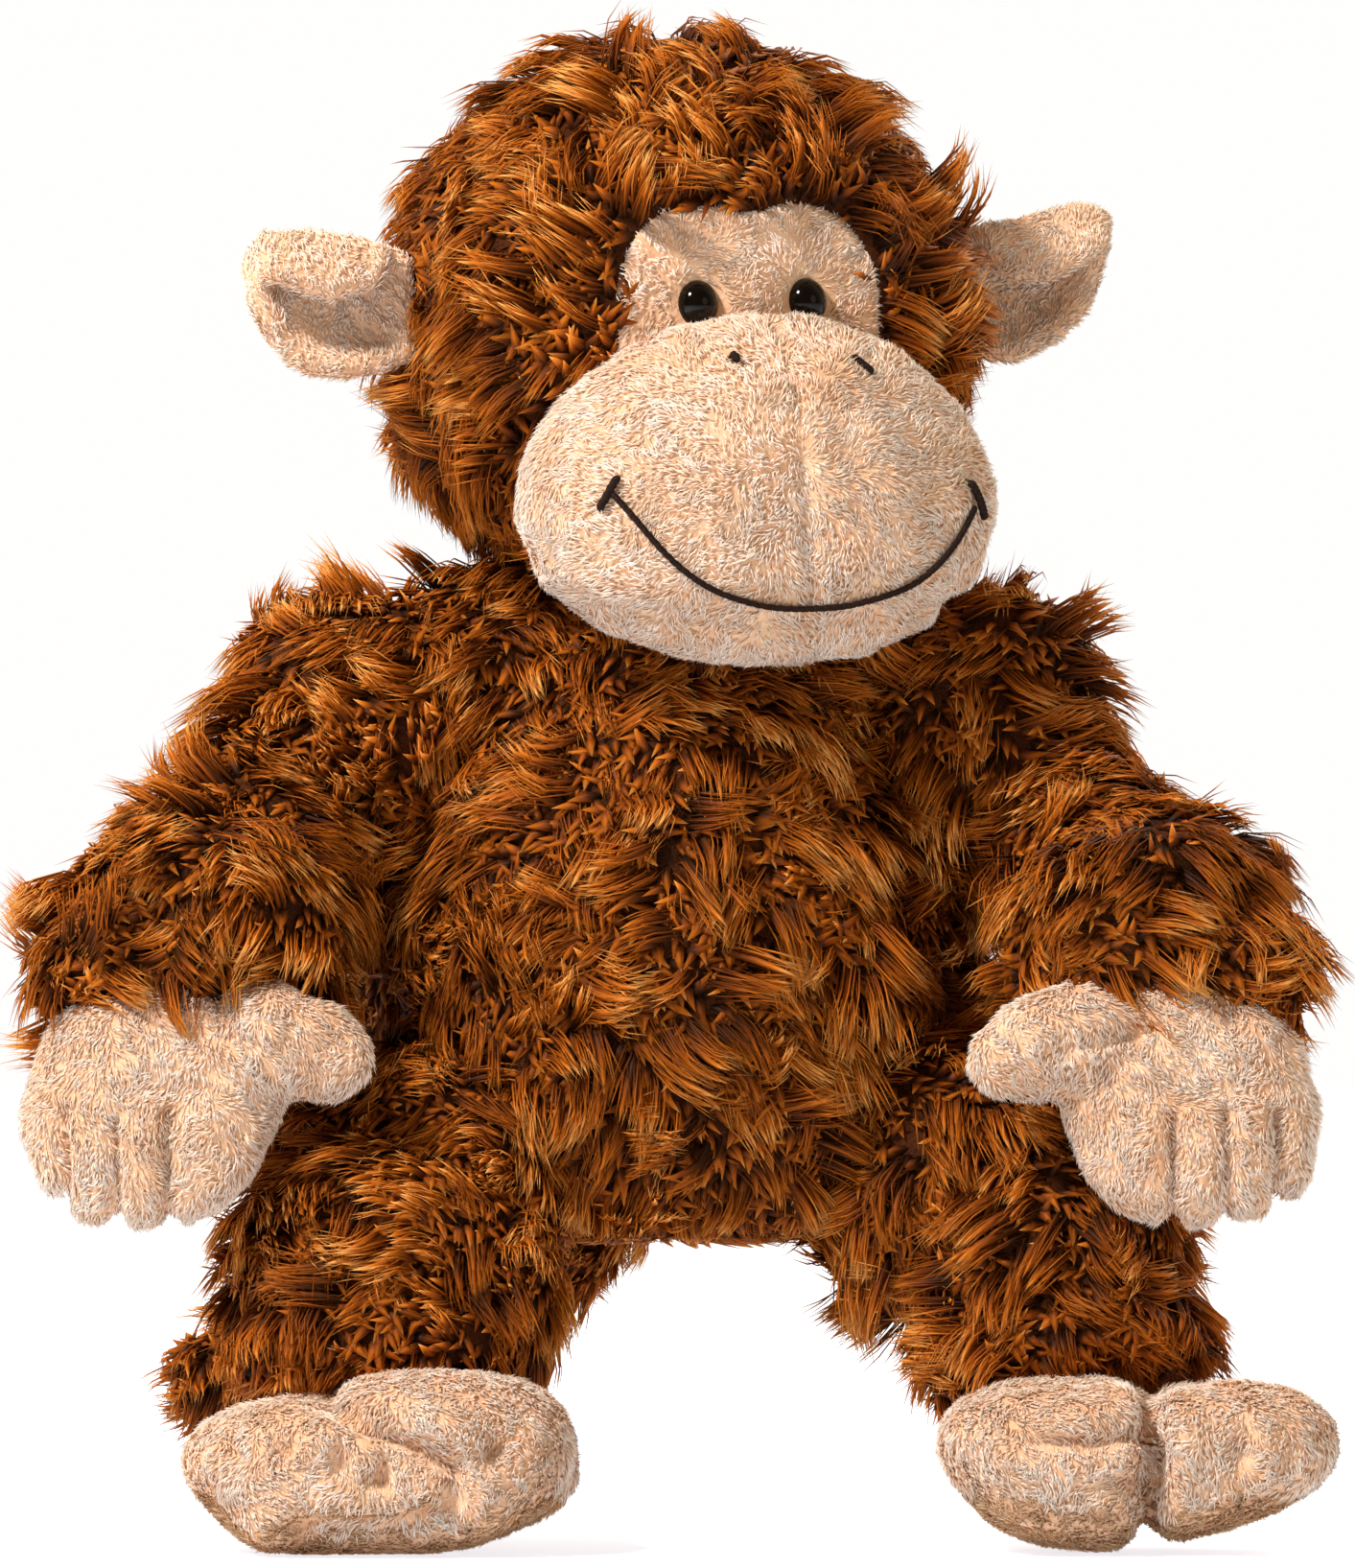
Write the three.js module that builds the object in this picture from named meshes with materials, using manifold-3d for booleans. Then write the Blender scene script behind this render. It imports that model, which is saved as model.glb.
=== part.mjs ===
// Stuffed monkey, seated on a raised seat with its shins hanging and its feet turned out.
// Millimetres, +Z up, the body faces -Y. The origin lies on the flat underside of the body.
// Left and right are the toy's own: its left side is at +X.
// Every long-pile skin is a thick wall: the backing cloth and the pressed pile together.
// Every limb piece starts in a ball at its upper joint and ends in a hollow round the next ball.
import * as THREE from "three";
import { mergeVertices } from "three/addons/utils/BufferGeometryUtils.js";
import Module from "manifold-3d";

const wasm = await Module();
wasm.setup();

// Cloth and clearances
const PILE_SKIN = 6; // long-pile fabric, backing and pressed pile
const PLUSH_SKIN = 2.5; // short-pile fabric of the face, hands, feet and ears
const GAP = 0.5; // between a skin and the stuffing behind it
const TOLERANCE = 0.16; // of the shapes that are joined or cut
const DISH_GROWTH = 1.07; // hollow round a ball, as a multiple of the ball's radius
const DISH_GAP = 0.5; // and what is added to it

// Roundness of the pieces
const LIMB_SIDES = 12;
const LOBE_SIDES = 10;
const LOBE_RINGS = 6;
const BALL_SIDES = 12;
const BALL_RINGS = 8;
const TORSO_SIDES = 14;
const HEAD_SIDES = 16;
const HEAD_RINGS = 9;

// Torso: height and radius pairs of the outline, seat first
const TORSO_OUTLINE = [
  [0, 46],
  [5, 59],
  [18, 67],
  [45, 71],
  [75, 71],
  [105, 64],
  [130, 54],
  [150, 41],
  [162, 27],
];
const TORSO_DEPTH_RATIO = 0.94;
const BELLY_FORWARD = 8;
const TORSO_TOP = 166;

// Joint centres
const NECK = [0, 0, 158];
const SHOULDER = [71, 0, 137];
const ELBOW = [107, -22, 99];
const WRIST = [131, -70, 65];
const FINGERTIPS = [134, -90, 5];
const HIP = [46, -8, 32];
const RIGHT_LEG = { knee: [-75, -58, -5], ankle: [-76, -66, -46], toeOut: 8 };
const LEFT_LEG = { knee: [99, -44, -5], ankle: [106, -54, -46], toeOut: 27 };
const TAIL = [
  [-8, 58, 22],
  [-46, 90, -22],
  [-124, 72, -36],
];

// How far the limbs can swing beside the torso, in degrees
const ARM_SWING = 40;
const LEG_RAISE = 8;
const LEG_CLOSE = 8;
const THIGH_ROOM = 41.5;
const TAIL_SWING = 20;

// Radii of the balls at the upper ends of the limb pieces
const NECK_BALL = 24;
const SHOULDER_BALL = 29;
const ELBOW_BALL = 28;
const WRIST_BALL = 26;
const HIP_BALL = 30;
const KNEE_BALL = 34;
const ANKLE_BALL = 26;
const TAIL_BALL = 12;
const SHOULDER_WAD = 17;
const HIP_WAD = 18;

// Head, in its own frame: X across, -Y to the front, Z up, origin at its middle
const HEAD_AT = [3, -8, 240];
const HEAD_TURN = 21; // degrees, towards the toy's left
const HEAD_TILT = 1.7; // degrees, left side up
const HEAD_HALF = { across: 78, front: 58, back: 70, up: 73 };
const MUZZLE_AT = [0, -55, -46];
const MUZZLE_HALF = { across: 66, front: 30, back: 34, up: 46 };
const MUZZLE_FULLNESS = 2.8; // 2 is an ellipsoid, more is a flatter front
const MUZZLE_LEAN = 0.1; // the lower part stands further forward
const MUZZLE_TAPER = 0.09; // the upper part is narrower
const CHIN_SEAM_DROP = 35; // below the middle of the muzzle
const SEAM_GAP = 0.3;
const FACE_PATCH = { lobe: 19.5, apart: 15.5, lobeUp: 10.5, bottom: -30 };
const EYE = { across: 15, up: 5.8, radius: 6, height: 5, stem: 2, reach: 13 };
const WASHER = { radius: 7, bore: 2.4, thick: 1.5, depth: 5 };
const NOSTRIL = { across: 17, up: 34.5, radius: 2.3 };
const MOUTH_POINTS = [
  [50, 8],
  [50, -1],
  [44, -11],
  [35.5, -20.5],
  [25, -26.5],
  [10, -29.6],
  [0, -30],
];
const MOUTH_THREAD = 0.8;
const MOUTH_LIFT = 1.5;
const EAR = { hinge: 78, up: 6, base: 5.5, baseHalf: 13, half: [22, 6, 21] };

const PELLET_POUCH = { at: [0, 22, 21], half: [22, 19, 13] };

const COLOURS = {
  longPile: 0x7a3d12,
  shortPile: 0xe8c59c,
  sole: 0xcf9a63,
  stuffing: 0xf4f1ea,
  pouch: 0xd9d5cb,
  plastic: 0x120d0a,
  washer: 0xf0f0ee,
  thread: 0x2e1a10,
};

const radians = THREE.MathUtils.degToRad;
const vector = (values) => new THREE.Vector3(...values);
const dishRadius = (ball) => ball * DISH_GROWTH + DISH_GAP;
const mirrored = ([x, y, z], side) => [x * side, y, z];

function material(colour, roughness) {
  return new THREE.MeshStandardMaterial({ color: colour, roughness, metalness: 0 });
}

function piece(name, geometry, colour, roughness = 0.95) {
  const mesh = new THREE.Mesh(geometry, material(colour, roughness));
  mesh.name = name;
  return mesh;
}

function solidFrom(geometry) {
  const bare = geometry.clone();
  bare.deleteAttribute("normal");
  bare.deleteAttribute("uv");
  const merged = mergeVertices(bare, 1e-3);
  const mesh = new wasm.Mesh({
    numProp: 3,
    vertProperties: merged.attributes.position.array,
    triVerts: new Uint32Array(merged.index.array),
  });
  return new wasm.Manifold(mesh);
}

// Fine slivers that the joins and cuts leave are merged away, up to the tolerance.
function geometryFrom(solid) {
  const mesh = solid.simplify(TOLERANCE).getMesh();
  const geometry = new THREE.BufferGeometry();
  const positions = new Float32Array(mesh.vertProperties);
  geometry.setAttribute("position", new THREE.BufferAttribute(positions, 3));
  geometry.setIndex(new THREE.BufferAttribute(new Uint32Array(mesh.triVerts), 1));
  geometry.computeVertexNormals();
  return geometry;
}

// Moves every vertex of a geometry by a function of its position.
function reshape(geometry, change) {
  const positions = geometry.attributes.position;
  const point = new THREE.Vector3();
  for (let i = 0; i < positions.count; i += 1) {
    point.fromBufferAttribute(positions, i);
    change(point);
    positions.setXYZ(i, point.x, point.y, point.z);
  }
  return geometry;
}

// A unit sphere with its poles on Z.
function unitSphere(sides, rings) {
  return new THREE.SphereGeometry(1, sides, rings).rotateX(Math.PI / 2);
}

function lobe(half, at, sides = LOBE_SIDES, rings = LOBE_RINGS) {
  return solidFrom(unitSphere(sides, rings).scale(...half).translate(...at));
}

function ball(radius, at) {
  return lobe([radius, radius, radius], at, BALL_SIDES, BALL_RINGS);
}

function united(solids) {
  return solids.reduce((sum, solid) => sum.add(solid));
}

function without(solid, cutters) {
  return cutters.reduce((rest, cutter) => rest.subtract(cutter), solid);
}

// A solid of revolution about Z from [radius, height] pairs.
function turned(outline, sides = LIMB_SIDES) {
  const points = outline.map(([radius, height]) => new THREE.Vector2(radius, height));
  return new THREE.LatheGeometry(points, sides).rotateX(Math.PI / 2);
}

// Points of an arc about a centre on the axis, from one polar angle to another, in degrees.
function arc(radius, centre, from, to, step = 28) {
  const count = Math.round(Math.abs(to - from) / step);
  const points = [];
  for (let i = 0; i <= count; i += 1) {
    const angle = radians(count ? from + ((to - from) * i) / count : from);
    const across = Math.abs(Math.sin(angle)) < 1e-6 ? 0 : radius * Math.sin(angle);
    points.push([across, centre + radius * Math.cos(angle)]);
  }
  return points;
}

// Height of the hollow's wall at a given radius.
function onDish(limb, radius) {
  return -limb.reach + Math.sqrt(limb.dish ** 2 - radius ** 2);
}

// The wall's points moved inwards, as far as the hollow at the end.
function wallInside(limb, inset) {
  const lowest = limb.dish ? onDish(limb, limb.rim - inset) : -limb.reach;
  const points = limb.wall.map(([down, radius]) => [radius - inset, -down]);
  return points.filter(([, height]) => height > lowest + 1);
}

// The skin of a limb piece: ball, wall and rim, open at the ball's pole.
function limbSkin(limb) {
  const inner = limb.ball - limb.skin;
  const outside = arc(limb.ball, 0, limb.mouth, 105);
  const inside = arc(inner, 0, 105, limb.mouth);
  const wall = limb.wall.map(([down, radius]) => [radius, -down]);
  const lining = wallInside(limb, limb.skin).reverse();
  const rim = [];
  if (limb.dish) {
    rim.push([limb.rim, onDish(limb, limb.rim)]);
    rim.push([limb.rim - limb.skin, onDish(limb, limb.rim - limb.skin)]);
  } else {
    rim.push([0, -limb.reach]);
    rim.push([0, -limb.reach + limb.skin]);
  }
  return turned([...outside, ...wall, ...rim, ...lining, ...inside, outside[0]].reverse());
}

// The stuffing of a limb piece, with a hollow for the wad of a two-way joint if it has one.
function limbStuffing(limb) {
  const inset = limb.skin + GAP;
  const inner = limb.ball - inset;
  const top = limb.wad
    ? [...arc(dishRadius(limb.wad), 0, 180, 105), ...arc(inner, 0, 105, 105)]
    : [...arc(inner, 0, 0, limb.mouth), ...arc(inner, 0, limb.mouth, 105).slice(1)];
  const wall = wallInside(limb, inset);
  const across = limb.rim - inset;
  const rimAngle = limb.dish ? (Math.asin(across / limb.dish) * 180) / Math.PI : 0;
  const end = limb.dish
    ? arc(limb.dish, -limb.reach, rimAngle, 0)
    : [[0, -limb.reach + inset]];
  return turned([...top, ...wall, ...end].reverse());
}

// Turns and moves an object so that its -Z points from one joint centre to the next.
function aim(object, from, to) {
  const zAxis = vector(from).sub(vector(to)).normalize();
  const xAxis = new THREE.Vector3(1, 0, 0);
  xAxis.addScaledVector(zAxis, -xAxis.dot(zAxis)).normalize();
  const yAxis = new THREE.Vector3().crossVectors(zAxis, xAxis);
  object.quaternion.setFromRotationMatrix(new THREE.Matrix4().makeBasis(xAxis, yAxis, zAxis));
  object.position.set(...from);
  return object;
}

function limbGroup(name, limb, from, to) {
  const group = new THREE.Group();
  group.add(piece(`${name}_skin`, limbSkin(limb), COLOURS.longPile));
  group.add(piece(`${name}_stuffing`, limbStuffing(limb), COLOURS.stuffing));
  return aim(group, from, to);
}

function wad(name, radius, at) {
  const geometry = unitSphere(LOBE_SIDES, LOBE_RINGS).scale(radius, radius, radius);
  return piece(name, geometry.translate(...at), COLOURS.stuffing);
}

// Limb pieces. Each wall is a list of [distance below the upper joint, radius].
const lengthOf = (from, to) => vector(from).distanceTo(vector(to));

const UPPER_ARM = {
  ball: SHOULDER_BALL,
  wad: SHOULDER_WAD,
  mouth: 48,
  skin: PILE_SKIN,
  wall: [[14, 28], [26, 31], [34, 31]],
  reach: lengthOf(SHOULDER, ELBOW),
  dish: dishRadius(ELBOW_BALL),
  rim: 27,
};
const FOREARM = {
  ball: ELBOW_BALL,
  mouth: 30,
  skin: PILE_SKIN,
  wall: [[14, 26.5], [28, 32], [41, 36.5], [50, 36]],
  reach: lengthOf(ELBOW, WRIST),
  dish: dishRadius(WRIST_BALL),
  rim: 27,
};
const THIGH = {
  ball: HIP_BALL,
  wad: HIP_WAD,
  mouth: 48,
  skin: PILE_SKIN,
  wall: [[12, 30], [26, 35], [38, 37]],
  reach: 0,
  dish: dishRadius(KNEE_BALL),
  rim: 33,
};
const SHIN = {
  ball: KNEE_BALL,
  mouth: 30,
  skin: PILE_SKIN,
  wall: [[14, 33], [25, 36], [33, 36.5]],
  reach: 0,
  dish: dishRadius(ANKLE_BALL),
  rim: 27.4,
};
const TAIL_ROOT = {
  ball: TAIL_BALL,
  mouth: 24,
  skin: 4,
  wall: [[10, 12], [30, 13], [48, 13]],
  reach: lengthOf(TAIL[0], TAIL[1]),
  dish: dishRadius(TAIL_BALL),
  rim: 10.5,
};
const TAIL_TIP = {
  ball: TAIL_BALL,
  mouth: 24,
  skin: 4,
  wall: [[12, 11], [30, 13], [62, 13.5], [72, 10.5]],
  reach: lengthOf(TAIL[1], TAIL[2]),
  dish: 0,
};

// Torso
function torsoForm(inset) {
  const outline = TORSO_OUTLINE.map(([height, radius]) => [radius - inset, height]);
  outline[0][1] += inset;
  outline[1][1] = Math.max(outline[1][1], inset + 3);
  const profile = [[0, inset], ...outline, [0, TORSO_TOP - inset]];
  const form = turned(profile, TORSO_SIDES).scale(1, TORSO_DEPTH_RATIO, 1);
  return solidFrom(
    reshape(form, (point) => {
      point.y -= BELLY_FORWARD * Math.sin((Math.PI * point.z) / TORSO_TOP);
    }),
  );
}

// A point turned about a pivot, in degrees.
function swung(point, pivot, axis, degrees) {
  const arm = vector(point).sub(vector(pivot));
  return arm.applyAxisAngle(vector(axis), radians(degrees)).add(vector(pivot)).toArray();
}

// The space a limb needs beside the torso, from its ball out to each place its far end can reach.
function limbRoom(at, radius, ends, endRadius) {
  const balls = [ball(radius, at), ...ends.map((end) => ball(endRadius, end))];
  return wasm.Manifold.hull(balls);
}

function torsoGroup() {
  const tailRoom = dishRadius(TAIL_BALL);
  const tailEnds = [0, TAIL_SWING].map((turn) => swung(TAIL[1], TAIL[0], [0, 0, 1], turn));
  const hollows = [
    ball(dishRadius(NECK_BALL), NECK),
    limbRoom(TAIL[0], tailRoom, tailEnds, tailRoom + 1.5),
  ];
  for (const [side, leg] of [[-1, RIGHT_LEG], [1, LEFT_LEG]]) {
    const shoulder = mirrored(SHOULDER, side);
    const elbow = mirrored(ELBOW, side);
    const ahead = swung(elbow, shoulder, [-1, 0, 0], ARM_SWING);
    const armRoom = dishRadius(SHOULDER_BALL);
    hollows.push(limbRoom(shoulder, armRoom, [elbow, ahead], armRoom + 1.5));
    const hip = mirrored(HIP, side);
    const raised = swung(leg.knee, hip, [-1, 0, 0], LEG_RAISE);
    const inward = swung(leg.knee, hip, [0, 0, -side], LEG_CLOSE);
    hollows.push(limbRoom(hip, dishRadius(HIP_BALL), [leg.knee, raised, inward], THIGH_ROOM));
  }
  const [x, y, z] = PELLET_POUCH.at;
  const pouch = lobe(PELLET_POUCH.half, PELLET_POUCH.at);
  const grown = PELLET_POUCH.half.map((half) => half + GAP * 2);
  const pouchHollow = united([lobe(grown, [x, y, z]), lobe(grown, [x, y, z - 8])]);
  const skin = without(torsoForm(0).subtract(torsoForm(PILE_SKIN)), hollows);
  const stuffing = without(torsoForm(PILE_SKIN + GAP), [...hollows, pouchHollow]);
  const group = new THREE.Group();
  group.add(piece("torso_skin", geometryFrom(skin), COLOURS.longPile));
  group.add(piece("torso_stuffing", geometryFrom(stuffing), COLOURS.stuffing));
  group.add(piece("pellet_pouch", geometryFrom(pouch), COLOURS.pouch));
  group.add(wad("neck_stuffing", NECK_BALL, NECK));
  return group;
}

// Head
function headForm(grow) {
  const form = reshape(unitSphere(HEAD_SIDES, HEAD_RINGS), (point) => {
    point.x *= HEAD_HALF.across + grow;
    point.y *= (point.y < 0 ? HEAD_HALF.front : HEAD_HALF.back) + grow;
    point.z *= HEAD_HALF.up + grow;
  });
  return solidFrom(form);
}

// Distance forward of the muzzle's middle at a point across and above it.
function muzzleFront(across, up, grow = 0) {
  const width = (MUZZLE_HALF.across + grow) * (1 - (MUZZLE_TAPER * up) / MUZZLE_HALF.up);
  const out = Math.hypot(across / width, up / (MUZZLE_HALF.up + grow));
  const bulge = (1 - Math.min(1, out) ** MUZZLE_FULLNESS) ** (1 / MUZZLE_FULLNESS);
  return (MUZZLE_HALF.front + grow) * bulge - MUZZLE_LEAN * up;
}

function muzzleForm(grow) {
  const form = reshape(unitSphere(HEAD_SIDES, HEAD_RINGS), (point) => {
    const out = Math.abs(point.y) < 1e-6 ? 1 : Math.min(1, Math.hypot(point.x, point.z));
    const bulge = (1 - out ** MUZZLE_FULLNESS) ** (1 / MUZZLE_FULLNESS);
    const depth = point.y < 0 ? -MUZZLE_HALF.front - grow : MUZZLE_HALF.back + grow;
    const up = point.z * (MUZZLE_HALF.up + grow);
    point.x *= (MUZZLE_HALF.across + grow) * (1 - MUZZLE_TAPER * point.z);
    point.y = depth * bulge + MUZZLE_LEAN * up;
    point.z = up;
  });
  return solidFrom(form.translate(...MUZZLE_AT));
}

function bar(radius, length, at, sides = 20) {
  return solidFrom(new THREE.CylinderGeometry(radius, radius, length, sides).translate(...at));
}

function block(size, at) {
  return solidFrom(new THREE.BoxGeometry(...size).translate(...at));
}

// The two-lobed outline of the patch round the eyes, as a prism through the front of the head.
function facePrism(grow) {
  const { lobe: radius, apart, lobeUp, bottom } = FACE_PATCH;
  const half = apart + radius + grow;
  const height = lobeUp - bottom;
  const solids = [block([half * 2, 100, height], [0, -60, bottom + height / 2])];
  for (const side of [-1, 1]) {
    solids.push(bar(radius + grow, 100, [side * apart, -60, lobeUp]));
  }
  return united(solids);
}

// A point on the face patch, and the way it faces.
function onPatch(across, up) {
  const grow = PLUSH_SKIN + GAP - PILE_SKIN;
  const half = [HEAD_HALF.across + grow, HEAD_HALF.front + grow, HEAD_HALF.up + grow];
  const depth = half[1] * Math.sqrt(1 - (across / half[0]) ** 2 - (up / half[2]) ** 2);
  const point = new THREE.Vector3(across, -depth, up);
  const normal = new THREE.Vector3(across / half[0] ** 2, -depth / half[1] ** 2, up / half[2] ** 2);
  return { point, normal: normal.normalize() };
}

// Turns a geometry made along +Z to stand on a surface point.
function standOn(geometry, { point, normal }) {
  const turn = new THREE.Quaternion().setFromUnitVectors(new THREE.Vector3(0, 0, 1), normal);
  return geometry.applyQuaternion(turn).translate(point.x, point.y, point.z);
}

function eyeOutline(grow) {
  const { radius, height, stem, reach } = EYE;
  return [
    [0, -reach - grow],
    [stem + grow, -reach - grow],
    [stem + grow, 0.6],
    [radius * 0.9, 0.6],
    [radius, 1.6],
    [radius * 0.85, height * 0.7],
    [radius * 0.5, height * 0.94],
    [0, height],
  ];
}

function washerOutline(grow) {
  const low = -WASHER.depth - WASHER.thick - grow;
  const high = -WASHER.depth + grow;
  const bore = WASHER.bore;
  return [
    [bore, low],
    [WASHER.radius + grow, low],
    [WASHER.radius + grow, high],
    [bore, high],
    [bore, low],
  ];
}

function mouthPoints() {
  const curve = new THREE.SplineCurve(MOUTH_POINTS.map((pair) => new THREE.Vector2(...pair)));
  const half = curve.getPoints(11);
  const whole = [...half, ...half.slice(0, -1).reverse().map((p) => new THREE.Vector2(-p.x, p.y))];
  return whole.map((p) => {
    const front = muzzleFront(p.x, p.y) + MOUTH_LIFT;
    const outward = 1 + MOUTH_LIFT / MUZZLE_HALF.across;
    const [x, y, z] = MUZZLE_AT;
    return new THREE.Vector3(x + p.x * outward, y - front, z + p.y * outward);
  });
}

function mouthGeometry() {
  const section = new THREE.Shape();
  section.absarc(0, 0, MOUTH_THREAD, 0, Math.PI * 2);
  const path = new THREE.CatmullRomCurve3(mouthPoints());
  return new THREE.ExtrudeGeometry(section, { steps: 22, curveSegments: 3, extrudePath: path });
}

// An ear: a thick rounded leaf with a hollow in front and its top folded over.
function earForm(side) {
  const at = (x, y, z) => [side * (EAR.hinge + x), y, EAR.up + z];
  const [long, thick, tall] = EAR.half;
  const leaf = lobe(EAR.half, at(long, 0, 0));
  const base = solidFrom(
    new THREE.CylinderGeometry(EAR.base, EAR.base, EAR.baseHalf * 2, 10)
      .rotateX(Math.PI / 2)
      .translate(...at(0, 0, 0)),
  );
  const fold = lobe([long * 0.62, thick * 0.8, tall * 0.3], at(long * 1.1, -thick * 0.8, tall * 0.6));
  const hollow = lobe([long * 0.6, thick, tall * 0.6], at(long * 1.1, -thick * 1.2, -tall * 0.25));
  return united([leaf, base]).subtract(hollow).add(fold);
}

function headGroup() {
  const group = new THREE.Group();
  group.position.set(...HEAD_AT);
  group.rotation.set(0, radians(-HEAD_TILT), radians(HEAD_TURN), "ZYX");
  group.updateMatrixWorld(true);
  const neck = group.worldToLocal(vector(NECK));
  const neckHollow = ball(dishRadius(NECK_BALL), neck.toArray());

  const core = headForm(-PILE_SKIN);
  const lining = headForm(GAP - PILE_SKIN);
  const earSlots = [];
  for (const side of [-1, 1]) {
    const slot = new THREE.CylinderGeometry(EAR.base + 1, EAR.base + 1, EAR.baseHalf * 2 + 2, 14);
    earSlots.push(
      solidFrom(slot.rotateX(Math.PI / 2).translate(side * EAR.hinge, 0, EAR.up)),
    );
  }
  const muzzleHole = muzzleForm(GAP);
  const skin = without(headForm(0).subtract(lining), [
    muzzleHole,
    facePrism(0),
    neckHollow,
    ...earSlots,
  ]);
  group.add(piece("head_skin", geometryFrom(skin), COLOURS.longPile));

  const eyePlaces = { right: onPatch(-EYE.across, EYE.up), left: onPatch(EYE.across, EYE.up) };
  const stems = [];
  const pockets = [];
  for (const [side, place] of Object.entries(eyePlaces)) {
    const stem = standOn(turned(eyeOutline(GAP), 8), place);
    const washer = standOn(turned([[0, -7.5], [8.5, -7.5], [8.5, 0], [0, 0]], 10), place);
    stems.push(solidFrom(stem));
    pockets.push(solidFrom(washer));
    const eye = standOn(turned(eyeOutline(0), 12), place);
    group.add(piece(`eye_${side}`, eye, COLOURS.plastic, 0.12));
    const ring = standOn(turned(washerOutline(0), 12), place);
    group.add(piece(`eye_washer_${side}`, ring, COLOURS.washer, 0.5));
  }
  const stuffing = without(core, [neckHollow, ...stems, ...pockets, ...earSlots]);
  group.add(piece("head_stuffing", geometryFrom(stuffing), COLOURS.stuffing));

  const patchShell = headForm(PLUSH_SKIN + GAP - PILE_SKIN).subtract(lining);
  const patch = without(patchShell.intersect(facePrism(-GAP)), [muzzleHole, ...stems]);
  group.add(piece("face_patch", geometryFrom(patch), COLOURS.shortPile));

  const muzzle = without(muzzleForm(0).subtract(muzzleForm(-PLUSH_SKIN)), [lining]);
  const seamHeight = MUZZLE_AT[2] - CHIN_SEAM_DROP;
  const wide = 300;
  const above = block([wide, wide, wide], [0, 0, seamHeight + wide / 2 + SEAM_GAP / 2]);
  const below = block([wide, wide, wide], [0, 0, seamHeight - wide / 2 - SEAM_GAP / 2]);
  for (const [name, side] of [["right", -1], ["left", 1]]) {
    const half = block([wide, wide, wide], [side * (wide / 2 + SEAM_GAP / 2), 0, 0]);
    const panel = muzzle.intersect(above).intersect(half);
    group.add(piece(`muzzle_panel_${name}`, geometryFrom(panel), COLOURS.shortPile));
  }
  group.add(piece("chin_panel", geometryFrom(muzzle.intersect(below)), COLOURS.shortPile));
  const muzzleFill = muzzleForm(-PLUSH_SKIN - GAP).subtract(lining);
  group.add(piece("muzzle_stuffing", geometryFrom(muzzleFill), COLOURS.stuffing));

  for (const [name, side] of [["right", -1], ["left", 1]]) {
    const front = muzzleFront(NOSTRIL.across, NOSTRIL.up);
    const [x, y, z] = MUZZLE_AT;
    const at = [x + side * NOSTRIL.across, y - front - NOSTRIL.radius * 0.5, z + NOSTRIL.up + 1.6];
    const form = unitSphere(10, 6).scale(NOSTRIL.radius, 0.9, NOSTRIL.radius);
    const nostril = form.rotateX(radians(-42)).translate(...at);
    group.add(piece(`nostril_${name}`, nostril, COLOURS.thread));
    group.add(piece(`ear_${name}`, geometryFrom(earForm(side)), COLOURS.shortPile));
  }
  group.add(piece("mouth_embroidery", mouthGeometry(), COLOURS.thread));
  return group;
}

// Hand in the wrist's frame: fingers down -Z, thumb towards +X, back of the hand towards -Y.
const HAND_LOBES = [
  { half: [32, 17, 24], at: [-3, 0, -29] },
  { half: [33, 14, 22], at: [-3, 0, -36] },
  { half: [22, 10.5, 11], at: [34, -2, -20] },
];

// Foot in the ankle's frame: toes to -Y, big toe towards +X.
const FOOT_LOBES = [
  { half: [30, 36, 22], at: [0, -14, -18] },
  { half: [31, 36, 21], at: [-15, -42, -16] },
  { half: [21, 33, 20], at: [28, -38, -16] },
];
const SOLE_LOW = -34;
const SOLE_THICK = 2.5;
const SOLE_SPREAD = 8; // the sole follows the outline this far above it

function lobesAndBall(lobes, ballRadius, inset) {
  const solids = lobes.map(({ half, at }) => lobe(half.map((value) => value - inset), at));
  return united([...solids, ball(ballRadius - inset, [0, 0, 0])]);
}

function aboveHeight(height) {
  return block([400, 400, 400], [0, 0, height + 200]);
}

function belowHeight(height) {
  return block([400, 400, 400], [0, 0, height - 200]);
}

function openTop(radius) {
  return solidFrom(
    new THREE.CylinderGeometry(radius, radius, 40, 12).rotateX(Math.PI / 2).translate(0, 0, 30),
  );
}

function handGroup(name) {
  const group = new THREE.Group();
  const [outer, lining, fill] = [0, PLUSH_SKIN, PLUSH_SKIN + GAP].map((inset) =>
    lobesAndBall(HAND_LOBES, WRIST_BALL, inset),
  );
  const skin = outer.subtract(lining).subtract(openTop(12));
  group.add(piece(`${name}_skin`, geometryFrom(skin), COLOURS.shortPile));
  group.add(piece(`${name}_stuffing`, geometryFrom(fill), COLOURS.stuffing));
  return group;
}

function footGroup(name) {
  const group = new THREE.Group();
  const [outer, lining, fill] = [0, PLUSH_SKIN, PLUSH_SKIN + GAP].map((inset) =>
    lobesAndBall(FOOT_LOBES, ANKLE_BALL, inset),
  );
  const overSole = aboveHeight(SOLE_LOW + SOLE_THICK + GAP);
  const skin = outer.intersect(overSole).subtract(lining).subtract(openTop(12));
  const slab = aboveHeight(SOLE_LOW).intersect(belowHeight(SOLE_LOW + SOLE_THICK));
  const sole = outer.translate([0, 0, -SOLE_SPREAD]).intersect(slab);
  group.add(piece(`${name}_skin`, geometryFrom(skin), COLOURS.shortPile));
  group.add(piece(`${name}_stuffing`, geometryFrom(fill.intersect(overSole)), COLOURS.stuffing));
  group.add(piece(`${name}_sole`, geometryFrom(sole), COLOURS.sole));
  return group;
}

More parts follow.
